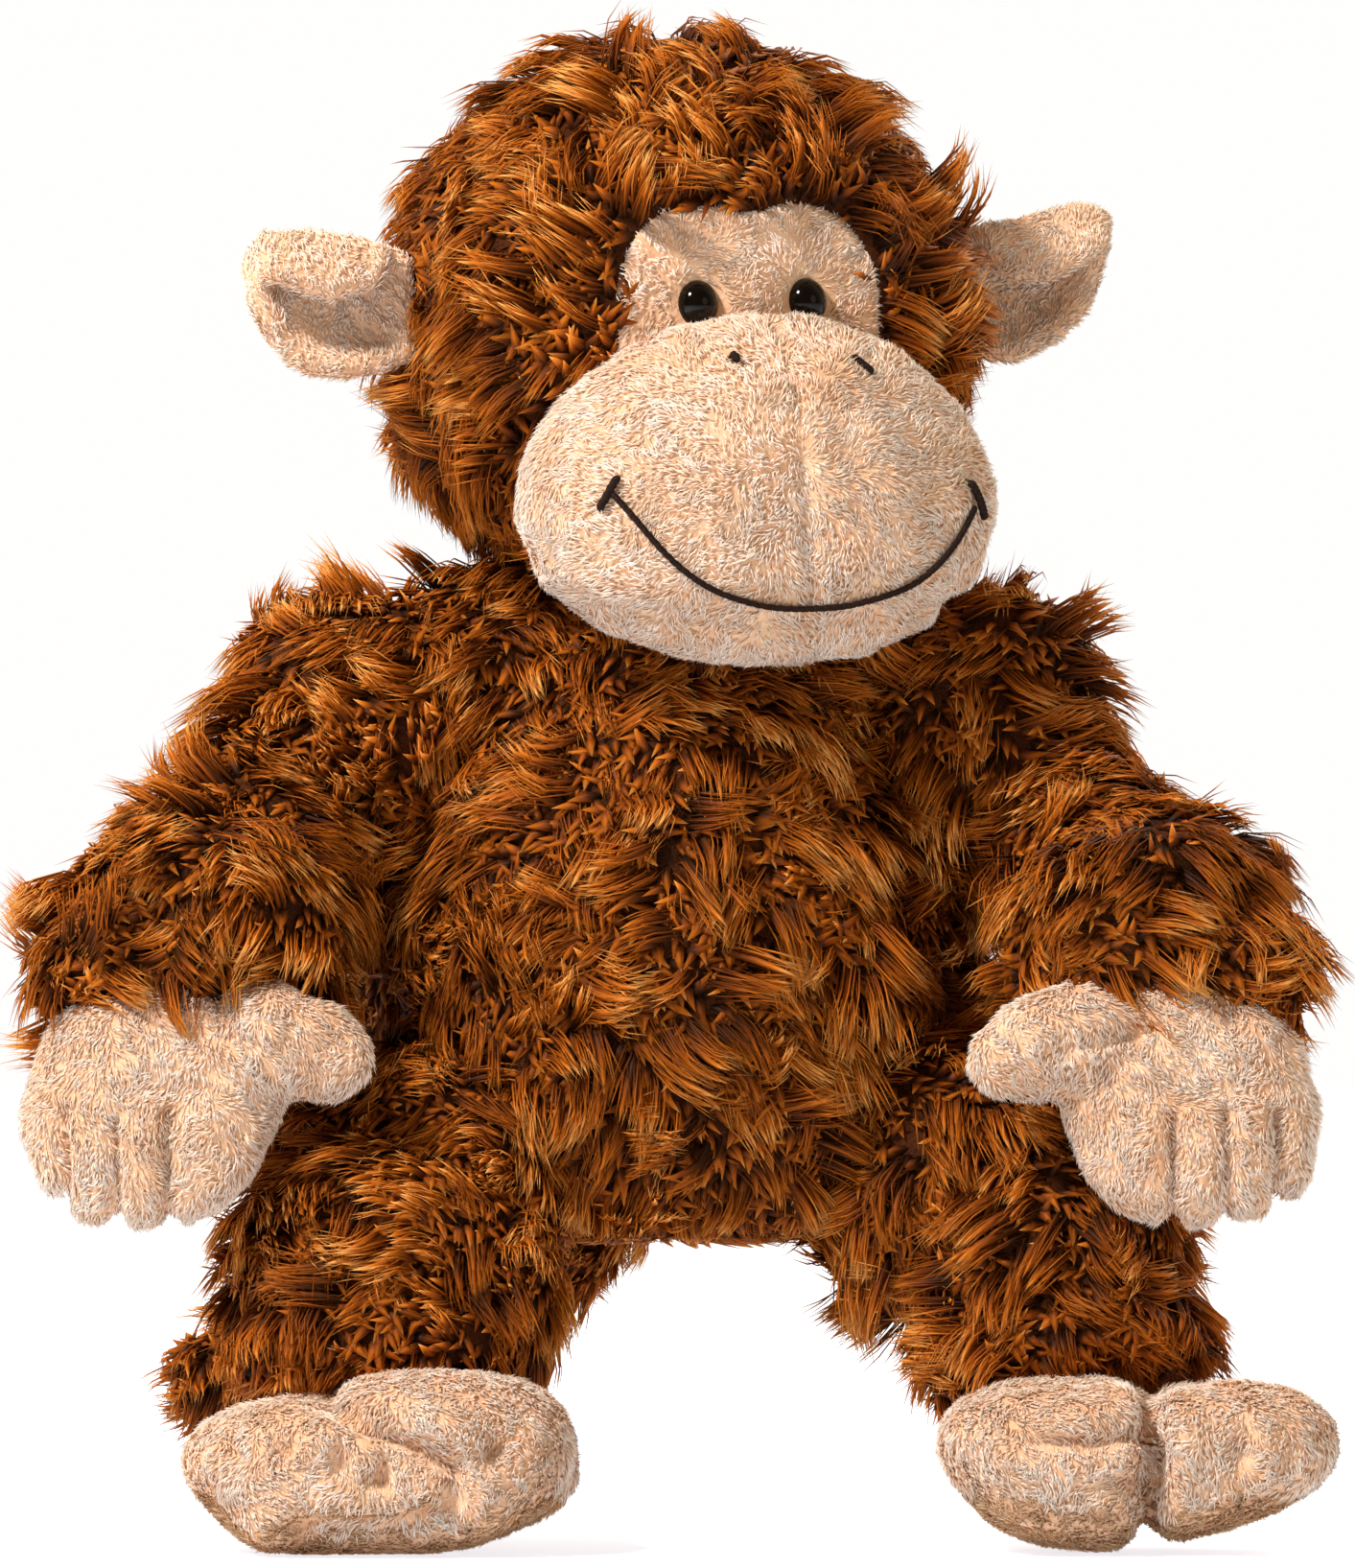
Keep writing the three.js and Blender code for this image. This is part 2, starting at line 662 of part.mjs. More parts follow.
function armGroup(name, side) {
  const group = new THREE.Group();
  const [shoulder, elbow, wrist, tips] = [SHOULDER, ELBOW, WRIST, FINGERTIPS].map((at) =>
    mirrored(at, side),
  );
  group.add(wad(`shoulder_stuffing_${name}`, SHOULDER_WAD, shoulder));
  group.add(limbGroup(`upper_arm_${name}`, UPPER_ARM, shoulder, elbow));
  group.add(limbGroup(`forearm_${name}`, FOREARM, elbow, wrist));
  const hand = handGroup(`hand_${name}`);
  const placed = aim(new THREE.Group(), wrist, tips);
  hand.scale.x = -side;
  placed.add(hand);
  group.add(placed);
  return group;
}

function legGroup(name, side, pose) {
  const group = new THREE.Group();
  const hip = mirrored(HIP, side);
  const thigh = { ...THIGH, reach: lengthOf(hip, pose.knee) };
  const shin = { ...SHIN, reach: lengthOf(pose.knee, pose.ankle) };
  group.add(wad(`hip_stuffing_${name}`, HIP_WAD, hip));
  group.add(limbGroup(`thigh_${name}`, thigh, hip, pose.knee));
  group.add(limbGroup(`shin_${name}`, shin, pose.knee, pose.ankle));
  const foot = footGroup(`foot_${name}`);
  foot.scale.x = -side;
  const placed = new THREE.Group();
  placed.position.set(...pose.ankle);
  placed.rotation.z = radians(side * pose.toeOut);
  placed.add(foot);
  group.add(placed);
  return group;
}

const monkey = new THREE.Group();
monkey.name = "stuffed_monkey";
monkey.add(torsoGroup());
monkey.add(headGroup());
monkey.add(armGroup("right", -1));
monkey.add(armGroup("left", 1));
monkey.add(legGroup("right", -1, RIGHT_LEG));
monkey.add(legGroup("left", 1, LEFT_LEG));
monkey.add(limbGroup("tail_root", TAIL_ROOT, TAIL[0], TAIL[1]));
monkey.add(limbGroup("tail_tip", TAIL_TIP, TAIL[1], TAIL[2]));

export default monkey;
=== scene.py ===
"""Looks of a stuffed monkey sitting with its legs hanging: soft forms, curly long pile, short plush, a sewn face."""

import itertools
import math

import bmesh
import bpy
import numpy as np
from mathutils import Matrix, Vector
from mathutils.bvhtree import BVHTree
from mathutils.kdtree import KDTree


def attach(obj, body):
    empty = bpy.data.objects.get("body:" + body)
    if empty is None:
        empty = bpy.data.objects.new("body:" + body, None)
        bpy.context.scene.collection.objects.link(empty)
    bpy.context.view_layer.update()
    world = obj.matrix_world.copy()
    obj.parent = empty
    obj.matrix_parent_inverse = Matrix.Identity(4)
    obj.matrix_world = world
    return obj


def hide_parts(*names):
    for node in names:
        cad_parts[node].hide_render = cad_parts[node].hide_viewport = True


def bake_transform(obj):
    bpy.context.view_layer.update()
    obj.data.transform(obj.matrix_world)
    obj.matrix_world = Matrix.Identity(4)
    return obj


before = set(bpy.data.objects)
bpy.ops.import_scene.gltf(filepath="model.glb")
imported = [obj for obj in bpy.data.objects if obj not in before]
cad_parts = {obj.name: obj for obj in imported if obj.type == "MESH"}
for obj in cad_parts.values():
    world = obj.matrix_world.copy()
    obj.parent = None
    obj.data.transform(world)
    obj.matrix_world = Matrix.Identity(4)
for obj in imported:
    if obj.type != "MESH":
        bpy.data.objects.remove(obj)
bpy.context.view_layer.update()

MM = 0.001
SIDES = {"right": -1, "left": 1}

# The frame's own measures, in millimetres
SHOULDER = (71, 0, 137)
ELBOW = (107, -22, 99)
WRIST = (131, -70, 65)
HIP = (46, -8, 32)
KNEE = {"right": (-75, -58, -5), "left": (99, -44, -5)}
ANKLE = {"right": (-76, -66, -46), "left": (106, -54, -46)}
TAIL = ((-8, 58, 22), (-46, 90, -22), (-124, 72, -36))
HEAD_AT = np.array([3.0, -8.0, 240.0])
HEAD_TURN = math.radians(21)
HEAD_TILT = math.radians(1.7)
FLOOR_Z = -80
EYE_ACROSS = 15
EYE_UP = 3.0
MUZZLE_MIDDLE = np.array([0.0, -55.0, -46.0])
MUZZLE_BACK = -38  # pile grows on the muzzle before this, in the head's Y
PATCH_BACK = -30
EYE_CLEAR = 6.9  # no pile grows this near to the middle of an eye
EAR_ROOT = 76  # it grows on an ear beyond this, from the head's middle plane
SOLE_RISE = 16  # how high the sole's pile reaches up the foot

# ---------------------------------------------------------------- small tools


def unit(v):
    return v / np.maximum(np.linalg.norm(v, axis=-1, keepdims=True), 1e-9)


def mirrored(point, side):
    return (point[0] * SIDES[side], point[1], point[2])


def head_matrix():
    c, s = math.cos(HEAD_TURN), math.sin(HEAD_TURN)
    turn = np.array([[c, -s, 0], [s, c, 0], [0, 0, 1]])
    c, s = math.cos(-HEAD_TILT), math.sin(-HEAD_TILT)
    tilt = np.array([[c, 0, s], [0, 1, 0], [-s, 0, c]])
    return turn @ tilt


HEAD = head_matrix()


def from_head(points):
    """From the head's own frame to the toy's."""
    return np.asarray(points, float) @ HEAD.T + HEAD_AT


def to_head(points):
    """From the toy's frame to the head's own."""
    return (np.asarray(points, float) - HEAD_AT) @ HEAD


def wave_noise(points, size, seed):
    """A smooth field of about zero mean and unit spread, with features of that size in millimetres."""
    r = np.random.default_rng(seed)
    waves = r.normal(size=(12, 3)) * 2.2 / size
    phases = r.uniform(0, 2 * math.pi, 12)
    return np.sin(points @ waves.T + phases).sum(axis=1) / math.sqrt(6)


def rounded(a, b, c, d, share):
    """The point at that share of the way from b to c, on a curve that comes from a and goes on to d."""
    return 0.5 * (
        2 * b + (c - a) * share + (2 * a - 5 * b + 4 * c - d) * share**2 + (3 * b - a - 3 * c + d) * share**3
    )


def smooth_loop(points, count):
    """A closed loop of count points that rounds the given corners."""
    p = np.array(points, float)
    places = np.linspace(0, len(p), count, endpoint=False)
    return np.array([rounded(*(p[(int(t) + k) % len(p)] for k in (-1, 0, 1, 2)), t - int(t)) for t in places])


def along_edges(corners, per_edge):
    """Points along the edges of a closed line of corners."""
    p = np.array(corners, float)
    shares = np.linspace(0, 1, per_edge, endpoint=False)
    return [a + (b - a) * t for a, b in zip(p, np.roll(p, -1, axis=0)) for t in shares]


def linked(name, data):
    """A new object in the scene."""
    obj = bpy.data.objects.new(name, data)
    bpy.context.scene.collection.objects.link(obj)
    return obj


def ring_faces(rings, n):
    """Quads between rings of n points each."""
    rows = [(r * n, i, (i + 1) % n) for r in range(rings - 1) for i in range(n)]
    return [(low + i, low + j, low + n + j, low + n + i) for low, i, j in rows]


def mesh_object(name, vertices, faces):
    """An object from millimetre points and lists of corner numbers."""
    mesh = bpy.data.meshes.new(name)
    mesh.from_pydata([tuple(v) for v in np.asarray(vertices, float) * MM], [], [tuple(f) for f in faces])
    mesh.validate()
    mesh.update()
    mesh.shade_smooth()
    return linked(name, mesh)


def settle(obj):
    """Puts what the object's modifiers make into its own mesh."""
    graph = bpy.context.evaluated_depsgraph_get()
    made = bpy.data.meshes.new_from_object(obj.evaluated_get(graph))
    obj.modifiers.clear()
    obj.data = made
    obj.data.name = obj.name
    obj.data.shade_smooth()


def keep_largest(obj):
    """Drops the bubbles that a remesh leaves inside."""
    bm = bmesh.new()
    bm.from_mesh(obj.data)
    bm.verts.ensure_lookup_table()
    seen, groups = set(), []
    for start in bm.verts:
        if start.index in seen:
            continue
        group, stack = [], [start]
        seen.add(start.index)
        while stack:
            v = stack.pop()
            group.append(v)
            for e in v.link_edges:
                w = e.other_vert(v)
                if w.index not in seen:
                    seen.add(w.index)
                    stack.append(w)
        groups.append(group)
    groups.sort(key=len, reverse=True)
    for group in groups[1:]:
        bmesh.ops.delete(bm, geom=group, context="VERTS")
    bm.to_mesh(obj.data)
    bm.free()


def points_of(obj):
    out = np.empty(len(obj.data.vertices) * 3)
    obj.data.vertices.foreach_get("co", out)
    return out.reshape(-1, 3) / MM


def normals_of(obj):
    out = np.empty(len(obj.data.vertices) * 3)
    obj.data.vertices.foreach_get("normal", out)
    return out.reshape(-1, 3)


def move_points(obj, points):
    obj.data.vertices.foreach_set("co", (np.asarray(points) * MM).ravel())
    obj.data.update()


def remeshed(obj, voxel, smooth, grow=0.0):
    """Fuses the object into one smooth skin, and lets it out by grow."""
    m = obj.modifiers.new("fuse", "REMESH")
    m.mode = "VOXEL"
    m.voxel_size = voxel * MM
    m.adaptivity = 0
    m = obj.modifiers.new("soften", "SMOOTH")
    m.factor = 0.5
    m.iterations = smooth
    settle(obj)
    keep_largest(obj)
    if grow:
        move_points(obj, points_of(obj) + normals_of(obj) * grow)
    return obj


def ball_mesh(bm, place, radius):
    made = bmesh.ops.create_icosphere(bm, subdivisions=2, radius=radius * MM)
    bmesh.ops.translate(bm, verts=made["verts"], vec=Vector([float(x) for x in place]) * MM)


def skin_rings(bm, rings):
    """Faces between neighbouring rings, and a cap on both ends."""
    n = len(rings[0])
    for a, b in zip(rings, rings[1:]):
        for i in range(n):
            bm.faces.new((a[i], a[(i + 1) % n], b[(i + 1) % n], b[i]))
    bm.faces.new(rings[0])
    bm.faces.new(rings[-1][::-1])


LOFT_STEPS = 17


def loft(bm, outline, middle, y_mid, half_depth, power=2.5, lean=0.0):
    """A pillow with that outline from the front, rounded off to front and back. lean shifts Y with height."""
    p, c = np.array(outline, float), np.array(middle, float)
    rings = []
    for t in np.linspace(-1, 1, LOFT_STEPS)[1:-1]:
        t = math.copysign(abs(t) ** 0.6, t)
        share = (1 - abs(t) ** power) ** (1 / power)
        ring = []
        for q in c + (p - c) * share:
            y = y_mid + half_depth * t + lean * (q[1] - c[1])
            ring.append(bm.verts.new((q[0] * MM, y * MM, q[1] * MM)))
        rings.append(ring)
    skin_rings(bm, rings)
    bmesh.ops.recalc_face_normals(bm, faces=bm.faces)


def object_from(bm, name):
    mesh = bpy.data.meshes.new(name)
    bm.to_mesh(mesh)
    bm.free()
    return linked(name, mesh)


def soft_form(name, nodes, voxel, smooth, grow=0.0, balls=()):
    """One closed soft shape that fills the space of these CAD nodes. balls are (x, y, z, radius) that fill it out."""
    bm = bmesh.new()
    for node in nodes:
        bm.from_mesh(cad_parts[node].data)
    for x, y, z, radius in balls:
        ball_mesh(bm, (x, y, z), radius)
    obj = object_from(bm, name)
    remeshed(obj, voxel, smooth, grow)
    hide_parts(*nodes)
    return obj


FILL_PRESSURE = 4.0
FILL_FRAMES = 20


def filled_out(obj, cap, held):
    """Blows the piece up as cloth, by cap millimetres at most. held is 0 to 1 per point, 1 on the stitching."""
    before = points_of(obj)
    cloth = obj.modifiers.new("filling", "CLOTH")
    rules = cloth.settings
    rules.quality = 5
    rules.mass = 0.15
    rules.use_pressure = True
    rules.uniform_pressure_force = FILL_PRESSURE
    rules.effector_weights.gravity = 0
    rules.tension_stiffness = rules.compression_stiffness = 12
    rules.bending_stiffness = 0.8
    group = obj.vertex_groups.new(name="stitching")
    for i in np.flatnonzero(held > 0.05):
        group.add([int(i)], float(held[i]), "REPLACE")
    rules.vertex_group_mass = "stitching"
    cloth.point_cache.frame_start, cloth.point_cache.frame_end = 1, FILL_FRAMES
    for number in range(1, FILL_FRAMES + 1):
        bpy.context.scene.frame_set(number)
    settle(obj)
    bpy.context.scene.frame_set(1)
    moved = points_of(obj) - before
    far = np.linalg.norm(moved, axis=1, keepdims=True)
    move_points(obj, before + moved * np.minimum(1, cap / np.maximum(far, 1e-6)))


class Surface:
    """A mesh's triangles, to find places on it."""

    def __init__(self, obj):
        obj.data.calc_loop_triangles()
        corners = np.empty(len(obj.data.loop_triangles) * 3, int)
        obj.data.loop_triangles.foreach_get("vertices", corners)
        self.points = points_of(obj)
        self.normals = normals_of(obj)
        self.triangles = corners.reshape(-1, 3)
        a, b, c = (self.points[self.triangles[:, i]] for i in range(3))
        self.areas = np.linalg.norm(np.cross(b - a, c - a), axis=1) / 2
        self.tree = BVHTree.FromPolygons(self.points.tolist(), self.triangles.tolist())

    def scatter(self, count, rng):
        pick = rng.choice(len(self.areas), count, p=self.areas / self.areas.sum())
        u, v = rng.random((2, count, 1))
        u, v = np.where(u + v > 1, 1 - u, u), np.where(u + v > 1, 1 - v, v)
        out = []
        for values in (self.points, self.normals):
            a, b, c = (values[self.triangles[pick, i]] for i in range(3))
            out.append(a + u * (b - a) + v * (c - a))
        return out[0], unit(out[1])

    def holds(self, points, margin=0.0):
        """Which points lie inside it, deeper than margin."""
        inside = np.zeros(len(points), bool)
        for i, p in enumerate(points):
            near, normal, _, far = self.tree.find_nearest(p)
            if near is not None and (Vector(p) - near).dot(normal) < 0 and far > margin:
                inside[i] = True
        return inside


NEIGHBOURS = list(itertools.product((-1, 0, 1), repeat=3))


def spaced_out(points, gap, rng):
    """Numbers of the points that are left when no two may be nearer than gap."""
    cells, kept = {}, []
    for i in rng.permutation(len(points)):
        p = points[i]
        x, y, z = (int(math.floor(v / gap)) for v in p)
        around = (q for dx, dy, dz in NEIGHBOURS for q in cells.get((x + dx, y + dy, z + dz), ()))
        if not any((p[0] - q[0]) ** 2 + (p[1] - q[1]) ** 2 + (p[2] - q[2]) ** 2 < gap * gap for q in around):
            cells.setdefault((x, y, z), []).append(p)
            kept.append(i)
    return np.array(kept, int)


# ---------------------------------------------------------------- pile

COLUMNS = 16  # shades of lock, side by side in the pile's map


def flow_frame(points, normals, flow, turn):
    """Two directions along the surface: with the flow turned by an angle, and across it."""
    along = flow - normals * (flow * normals).sum(axis=1, keepdims=True)
    weak = np.linalg.norm(along, axis=1) < 1e-3
    along[weak] = np.cross(normals[weak], [0.3, 0.5, 0.8])
    along = unit(along)
    across = np.cross(normals, along)
    c, s = np.cos(turn)[:, None], np.sin(turn)[:, None]
    return along * c + across * s, across * c - along * s


def paths(roots, normals, along, across, length, lift, lift_end, curl, droop, steps):
    """Curved lines that leave the surface, lean over and turn."""
    at, out = roots.copy(), [roots]
    for i in range(steps):
        share = (i + 0.5) / steps
        up = (lift * (1 - share) + lift_end * share)[:, None]
        yaw = (curl * share)[:, None]
        side = along * np.cos(yaw) + across * np.sin(yaw)
        d = side * np.cos(up) + normals * np.sin(up)
        d[:, 2] -= droop * share
        at = at + unit(d) * (length / steps)[:, None]
        out.append(at)
    return np.stack(out, axis=1)


def tapered(lines, radii, sides, normals, wide=1.0, roll=None):
    """Closed pointed tubes along the lines: points, quads, triangles, the map places of both, and the root caps."""
    count, rings = lines.shape[0], lines.shape[1] - 1
    direction = unit(np.gradient(lines, axis=1))[:, :rings]
    a = unit(np.cross(direction, normals[:, None, :]))
    b = np.cross(a, direction)
    if roll is None:
        roll = np.zeros(count)
    angles = (np.arange(sides) / sides * 2 * math.pi)[None, :] + roll[:, None]
    ca, sa = np.cos(angles)[:, None, :, None], np.sin(angles)[:, None, :, None]
    r = radii[:, :rings, None, None]
    body = lines[:, :rings, None, :] + r * (ca * a[:, :, None, :] * wide + sa * b[:, :, None, :])
    per = rings * sides + 1
    points = np.concatenate([body.reshape(count, -1, 3), lines[:, -1:, :]], axis=1).reshape(-1, 3)
    base = (np.arange(count) * per)[:, None, None]
    j = np.arange(sides)
    k = np.arange(rings - 1)[:, None]
    low, high = k * sides + j, k * sides + (j + 1) % sides
    quads = np.stack([low, high, high + sides, low + sides], axis=-1).reshape(1, -1, 4) + base
    last = (rings - 1) * sides
    tips = np.stack([last + j, last + (j + 1) % sides, np.full(sides, per - 1)], axis=-1)[None] + base
    u = j / sides
    v = np.arange(rings + 1) / rings
    quad_uv = np.empty((rings - 1, sides, 4, 2))
    quad_uv[..., 0, 0], quad_uv[..., 1, 0] = u, u + 1 / sides
    quad_uv[..., 2, 0], quad_uv[..., 3, 0] = u + 1 / sides, u
    quad_uv[..., :2, 1] = v[: rings - 1, None, None]
    quad_uv[..., 2:, 1] = v[1:rings, None, None]
    tip_uv = np.empty((sides, 3, 2))
    tip_uv[:, 0, 0], tip_uv[:, 1, 0], tip_uv[:, 2, 0] = u, u + 1 / sides, u + 0.5 / sides
    tip_uv[:, :2, 1], tip_uv[:, 2, 1] = v[rings - 1], 0.999
    caps = (np.arange(sides)[::-1])[None] + (np.arange(count) * per)[:, None]
    return points, quads.reshape(count, -1, 4), tips, quad_uv.reshape(-1, 4, 2), tip_uv, caps


def pile_object(name, batches, material):
    """One mesh from several batches of tubes. Each batch: (lines, radii, sides, normals, column, options)."""
    all_points, loops, starts, uvs, offset, loop_at = [], [], [], [], 0, 0
    for lines, radii, sides, normals, column, options in batches:
        points, quads, tips, quad_uv, tip_uv, caps = tapered(lines, radii, sides, normals, **options)
        count = len(lines)
        left = (column / COLUMNS)[:, None, None]
        room = 1 / COLUMNS

        def placed(uv):
            out = np.repeat(uv[None], count, axis=0)
            out[..., 0] = left + (0.06 + 0.88 * out[..., 0]) * room
            return out

        cap_uv = np.zeros((count, sides, 2))
        cap_uv[..., 0] = (column / COLUMNS + room * 0.5)[:, None] + np.linspace(-0.2, 0.2, sides)[None] * room
        cap_uv[..., 1] = np.abs(np.linspace(-0.02, 0.02, sides))[None]
        for faces, uv in ((quads, placed(quad_uv)), (tips, placed(tip_uv)), (caps[:, None], cap_uv)):
            n = faces.shape[0] * faces.shape[1]
            size = faces.shape[2]
            loops.append((faces + offset).reshape(-1))
            starts.append(loop_at + np.arange(n) * size)
            uvs.append(uv.reshape(-1, 2))
            loop_at += n * size
        all_points.append(points)
        offset += len(points)
    points = np.concatenate(all_points) * MM
    loops, starts = np.concatenate(loops), np.concatenate(starts)
    mesh = bpy.data.meshes.new(name)
    mesh.vertices.add(len(points))
    mesh.vertices.foreach_set("co", points.astype(np.float32).ravel())
    mesh.loops.add(len(loops))
    mesh.loops.foreach_set("vertex_index", loops.astype(np.int32))
    mesh.polygons.add(len(starts))
    mesh.polygons.foreach_set("loop_start", starts.astype(np.int32))
    layer = mesh.uv_layers.new(name="OFBake")
    layer.data.foreach_set("uv", np.concatenate(uvs).astype(np.float32).ravel())
    mesh.update(calc_edges=True)
    mesh.shade_smooth()
    mesh.materials.append(material)
    return linked(name, mesh)


def nearest(points, others):
    """For each point, the number of the nearest of the others."""
    tree = KDTree(len(others))
    for i, p in enumerate(others):
        tree.insert(p, i)
    tree.balance()
    return np.array([tree.find(p)[1] for p in points])


LOCK_GAP = 4.0
TUFT_GAP = 9.5
UNDERCOAT_GAP = 3.0
NAP_GAP = 0.9
MOST_FACES = 150_000  # of one piece
LOCK_TRIES = 2.6  # places tried for each lock that fits
LOCK_DEPTH = 2.5  # how deep locks are rooted
LOCK_LIFT = 48  # degrees off the skin, at the root
LOCK_DROOP = 0.35
LOCK_STEPS = 6
CORE_MARKS = [0, 1, 3, 4, 5, 6]  # the steps of a lock that its core goes through, and how thick it is there
CORE_TAPER = np.array([0.9, 1.0, 0.95, 0.75, 0.45, 0.0])
TUFT_PULL = np.array([0, 0.06, 0.16, 0.28, 0.4, 0.5, 0.56])  # how far locks lean into their tuft, root to tip
STRANDS = 11  # fine ones in each lock
STRAND_MARKS = [0, 2, 4, 6]
STRAND_PULL = np.array([0, 0.3, 0.5, 0.56])  # how far strands lean into their lock
STRAND_APART = np.array([1, 0.85, 0.6, 0.4])
STRAND_TAPER = np.array([1.0, 1.0, 0.8, 0.0])
BLADE_TAPER = np.array([1.0, 0.9, 0.0])
NAP_WIDTH = 0.2
NAP_DEPTH = 0.25
NAP_LIFT = 31


def as_grown(lines):
    return lines


def grown(surface, gap, allow, rng, tries=1.0):
    """Scattered places and their normals, so many for each gap by gap, where allow(points, normals) holds."""
    points, normals = surface.scatter(int(surface.areas.sum() / (gap * gap) * tries), rng)
    keep = allow(points, normals)
    return points[keep], normals[keep]


def columns(shade):
    """The map's column for each shade of 0 to 1."""
    return np.clip((shade * COLUMNS).astype(int), 0, COLUMNS - 1)


def long_pile(name, surface, flow, seed, length, allow, shape=as_grown, calm=None):
    """Curly locks over a surface, gathered in tufts, with an undercoat. flow(points, normals) is the way they lie."""
    rng = np.random.default_rng(seed)
    points, normals = grown(surface, LOCK_GAP, allow, rng, LOCK_TRIES)
    kept = spaced_out(points, LOCK_GAP, rng)
    points, normals = points[kept], normals[kept]
    n = len(points)
    heads = points[spaced_out(points, TUFT_GAP, rng)]
    tufts = len(heads)
    tuft_of = nearest(points, heads)
    turn = 0.75 * wave_noise(heads, 26, 11) + 0.6 * wave_noise(heads, 11, 12) + rng.normal(0, 0.25, tufts)
    turn = turn[tuft_of] + rng.normal(0, 0.2, n)
    if calm is not None:
        turn *= calm(points)
    along, across = flow_frame(points, normals, flow(points, normals), turn)
    tuft = wave_noise(heads, 13, 13)[tuft_of]
    size = length * (1 + 0.14 * tuft + rng.normal(0, 0.12, n)).clip(0.55, 1.4)
    rise = np.radians(LOCK_LIFT + 12 * tuft + rng.normal(0, 8, n))
    rise_end = np.radians(6 + rng.normal(0, 14, tufts)[tuft_of] + rng.normal(0, 6, n))
    curl = (0.95 * wave_noise(heads, 9, 14) + rng.normal(0, 0.4, tufts))[tuft_of] + rng.normal(0, 0.2, n)
    column = columns(0.5 + 0.24 * wave_noise(heads, 16, 15)[tuft_of] + rng.normal(0, 0.13, n))
    sunk = points - normals * LOCK_DEPTH
    guide = paths(sunk, normals, along, across, size, rise, rise_end, curl, LOCK_DROOP, LOCK_STEPS)
    gather = np.zeros((tufts, LOCK_STEPS + 1, 3))
    count = np.bincount(tuft_of, minlength=tufts).clip(1)[:, None, None]
    np.add.at(gather, tuft_of, guide)
    pull = TUFT_PULL[None, :, None]
    guide = shape(guide * (1 - pull) + (gather / count)[tuft_of] * pull)
    width = rng.uniform(0.55, 0.9, n)
    core = (guide[:, CORE_MARKS], width[:, None] * CORE_TAPER[None], 4, normals, column, {"wide": 1.6})

    lock = np.repeat(np.arange(n), STRANDS)
    m = len(lock)
    ring, around = 0.8 * LOCK_GAP * np.sqrt(rng.random(m)), rng.uniform(0, 2 * math.pi, m)
    start = sunk[lock] + along[lock] * (ring * np.cos(around))[:, None]
    start = start + across[lock] * (ring * np.sin(around))[:, None]
    own_size = size[lock] * rng.uniform(0.8, 1.2, m)
    own_rise = rise[lock] + rng.normal(0, 0.12, m)
    own_end = rise_end[lock] + rng.normal(0, 0.25, m)
    own_curl = curl[lock] + rng.normal(0, 0.25, m)
    sides_of_lock = (normals[lock], along[lock], across[lock])
    own = paths(start, *sides_of_lock, own_size, own_rise, own_end, own_curl, LOCK_DROOP, 3)
    marks = guide[lock][:, STRAND_MARKS]
    pull = (STRAND_PULL[None] * rng.uniform(0.5, 1.25, m)[:, None]).clip(0, 0.95)[..., None]
    apart = (own[:, :1] - marks[:, :1]) * STRAND_APART[None, :, None]
    own = shape(own * (1 - pull) + (marks + apart) * pull)
    thin = rng.uniform(0.2, 0.36, m)[:, None] * STRAND_TAPER[None]
    drift = np.clip(column[lock] + rng.integers(-3, 4, m), 0, COLUMNS - 1)
    fine = (own, thin, 3, normals[lock], drift, {"roll": rng.normal(math.pi / 2, 0.35, m)})

    points, normals = grown(surface, UNDERCOAT_GAP, allow, rng)
    n = len(points)
    turn = 0.8 * wave_noise(points, 20, 16) + rng.normal(0, 0.8, n)
    along, across = flow_frame(points, normals, flow(points, normals), turn)
    size, rise = rng.uniform(8, 12, n), np.radians(rng.uniform(22, 44, n))
    curl = rng.normal(0, 0.5, n)
    blades = shape(paths(points - normals, normals, along, across, size, rise, rise * 0.2, curl, 0.1, 2))
    broad = rng.uniform(0.6, 1.0, n)[:, None] * BLADE_TAPER[None]
    # The undercoat takes only the darker columns of the map: painted shade deep among the locks.
    under = (blades, broad, 4, normals, rng.integers(0, COLUMNS // 2 + 2, n), {"wide": 1.8})
    return split_pile(name, [core, fine, under], FUR)


def split_pile(name, batches, material):
    """Pieces of at most MOST_FACES triangles, cut along the order of the strands."""

    def cost(batch):
        lines, _, sides = batch[:3]
        rings = lines.shape[1] - 1
        return len(lines) * ((rings - 1) * sides * 2 + sides + max(1, sides - 2))

    parts = max(1, math.ceil(sum(cost(b) for b in batches) / MOST_FACES))
    out = []
    for p in range(parts):
        some = []
        for lines, radii, sides, normals, column, options in batches:
            pick = slice(len(lines) * p // parts, len(lines) * (p + 1) // parts)
            chosen = dict(options)
            if "roll" in chosen:
                chosen["roll"] = chosen["roll"][pick]
            some.append((lines[pick], radii[pick], sides, normals[pick], column[pick], chosen))
        out.append(pile_object(name if parts == 1 else f"{name}_{p + 1}", some, material))
    return out


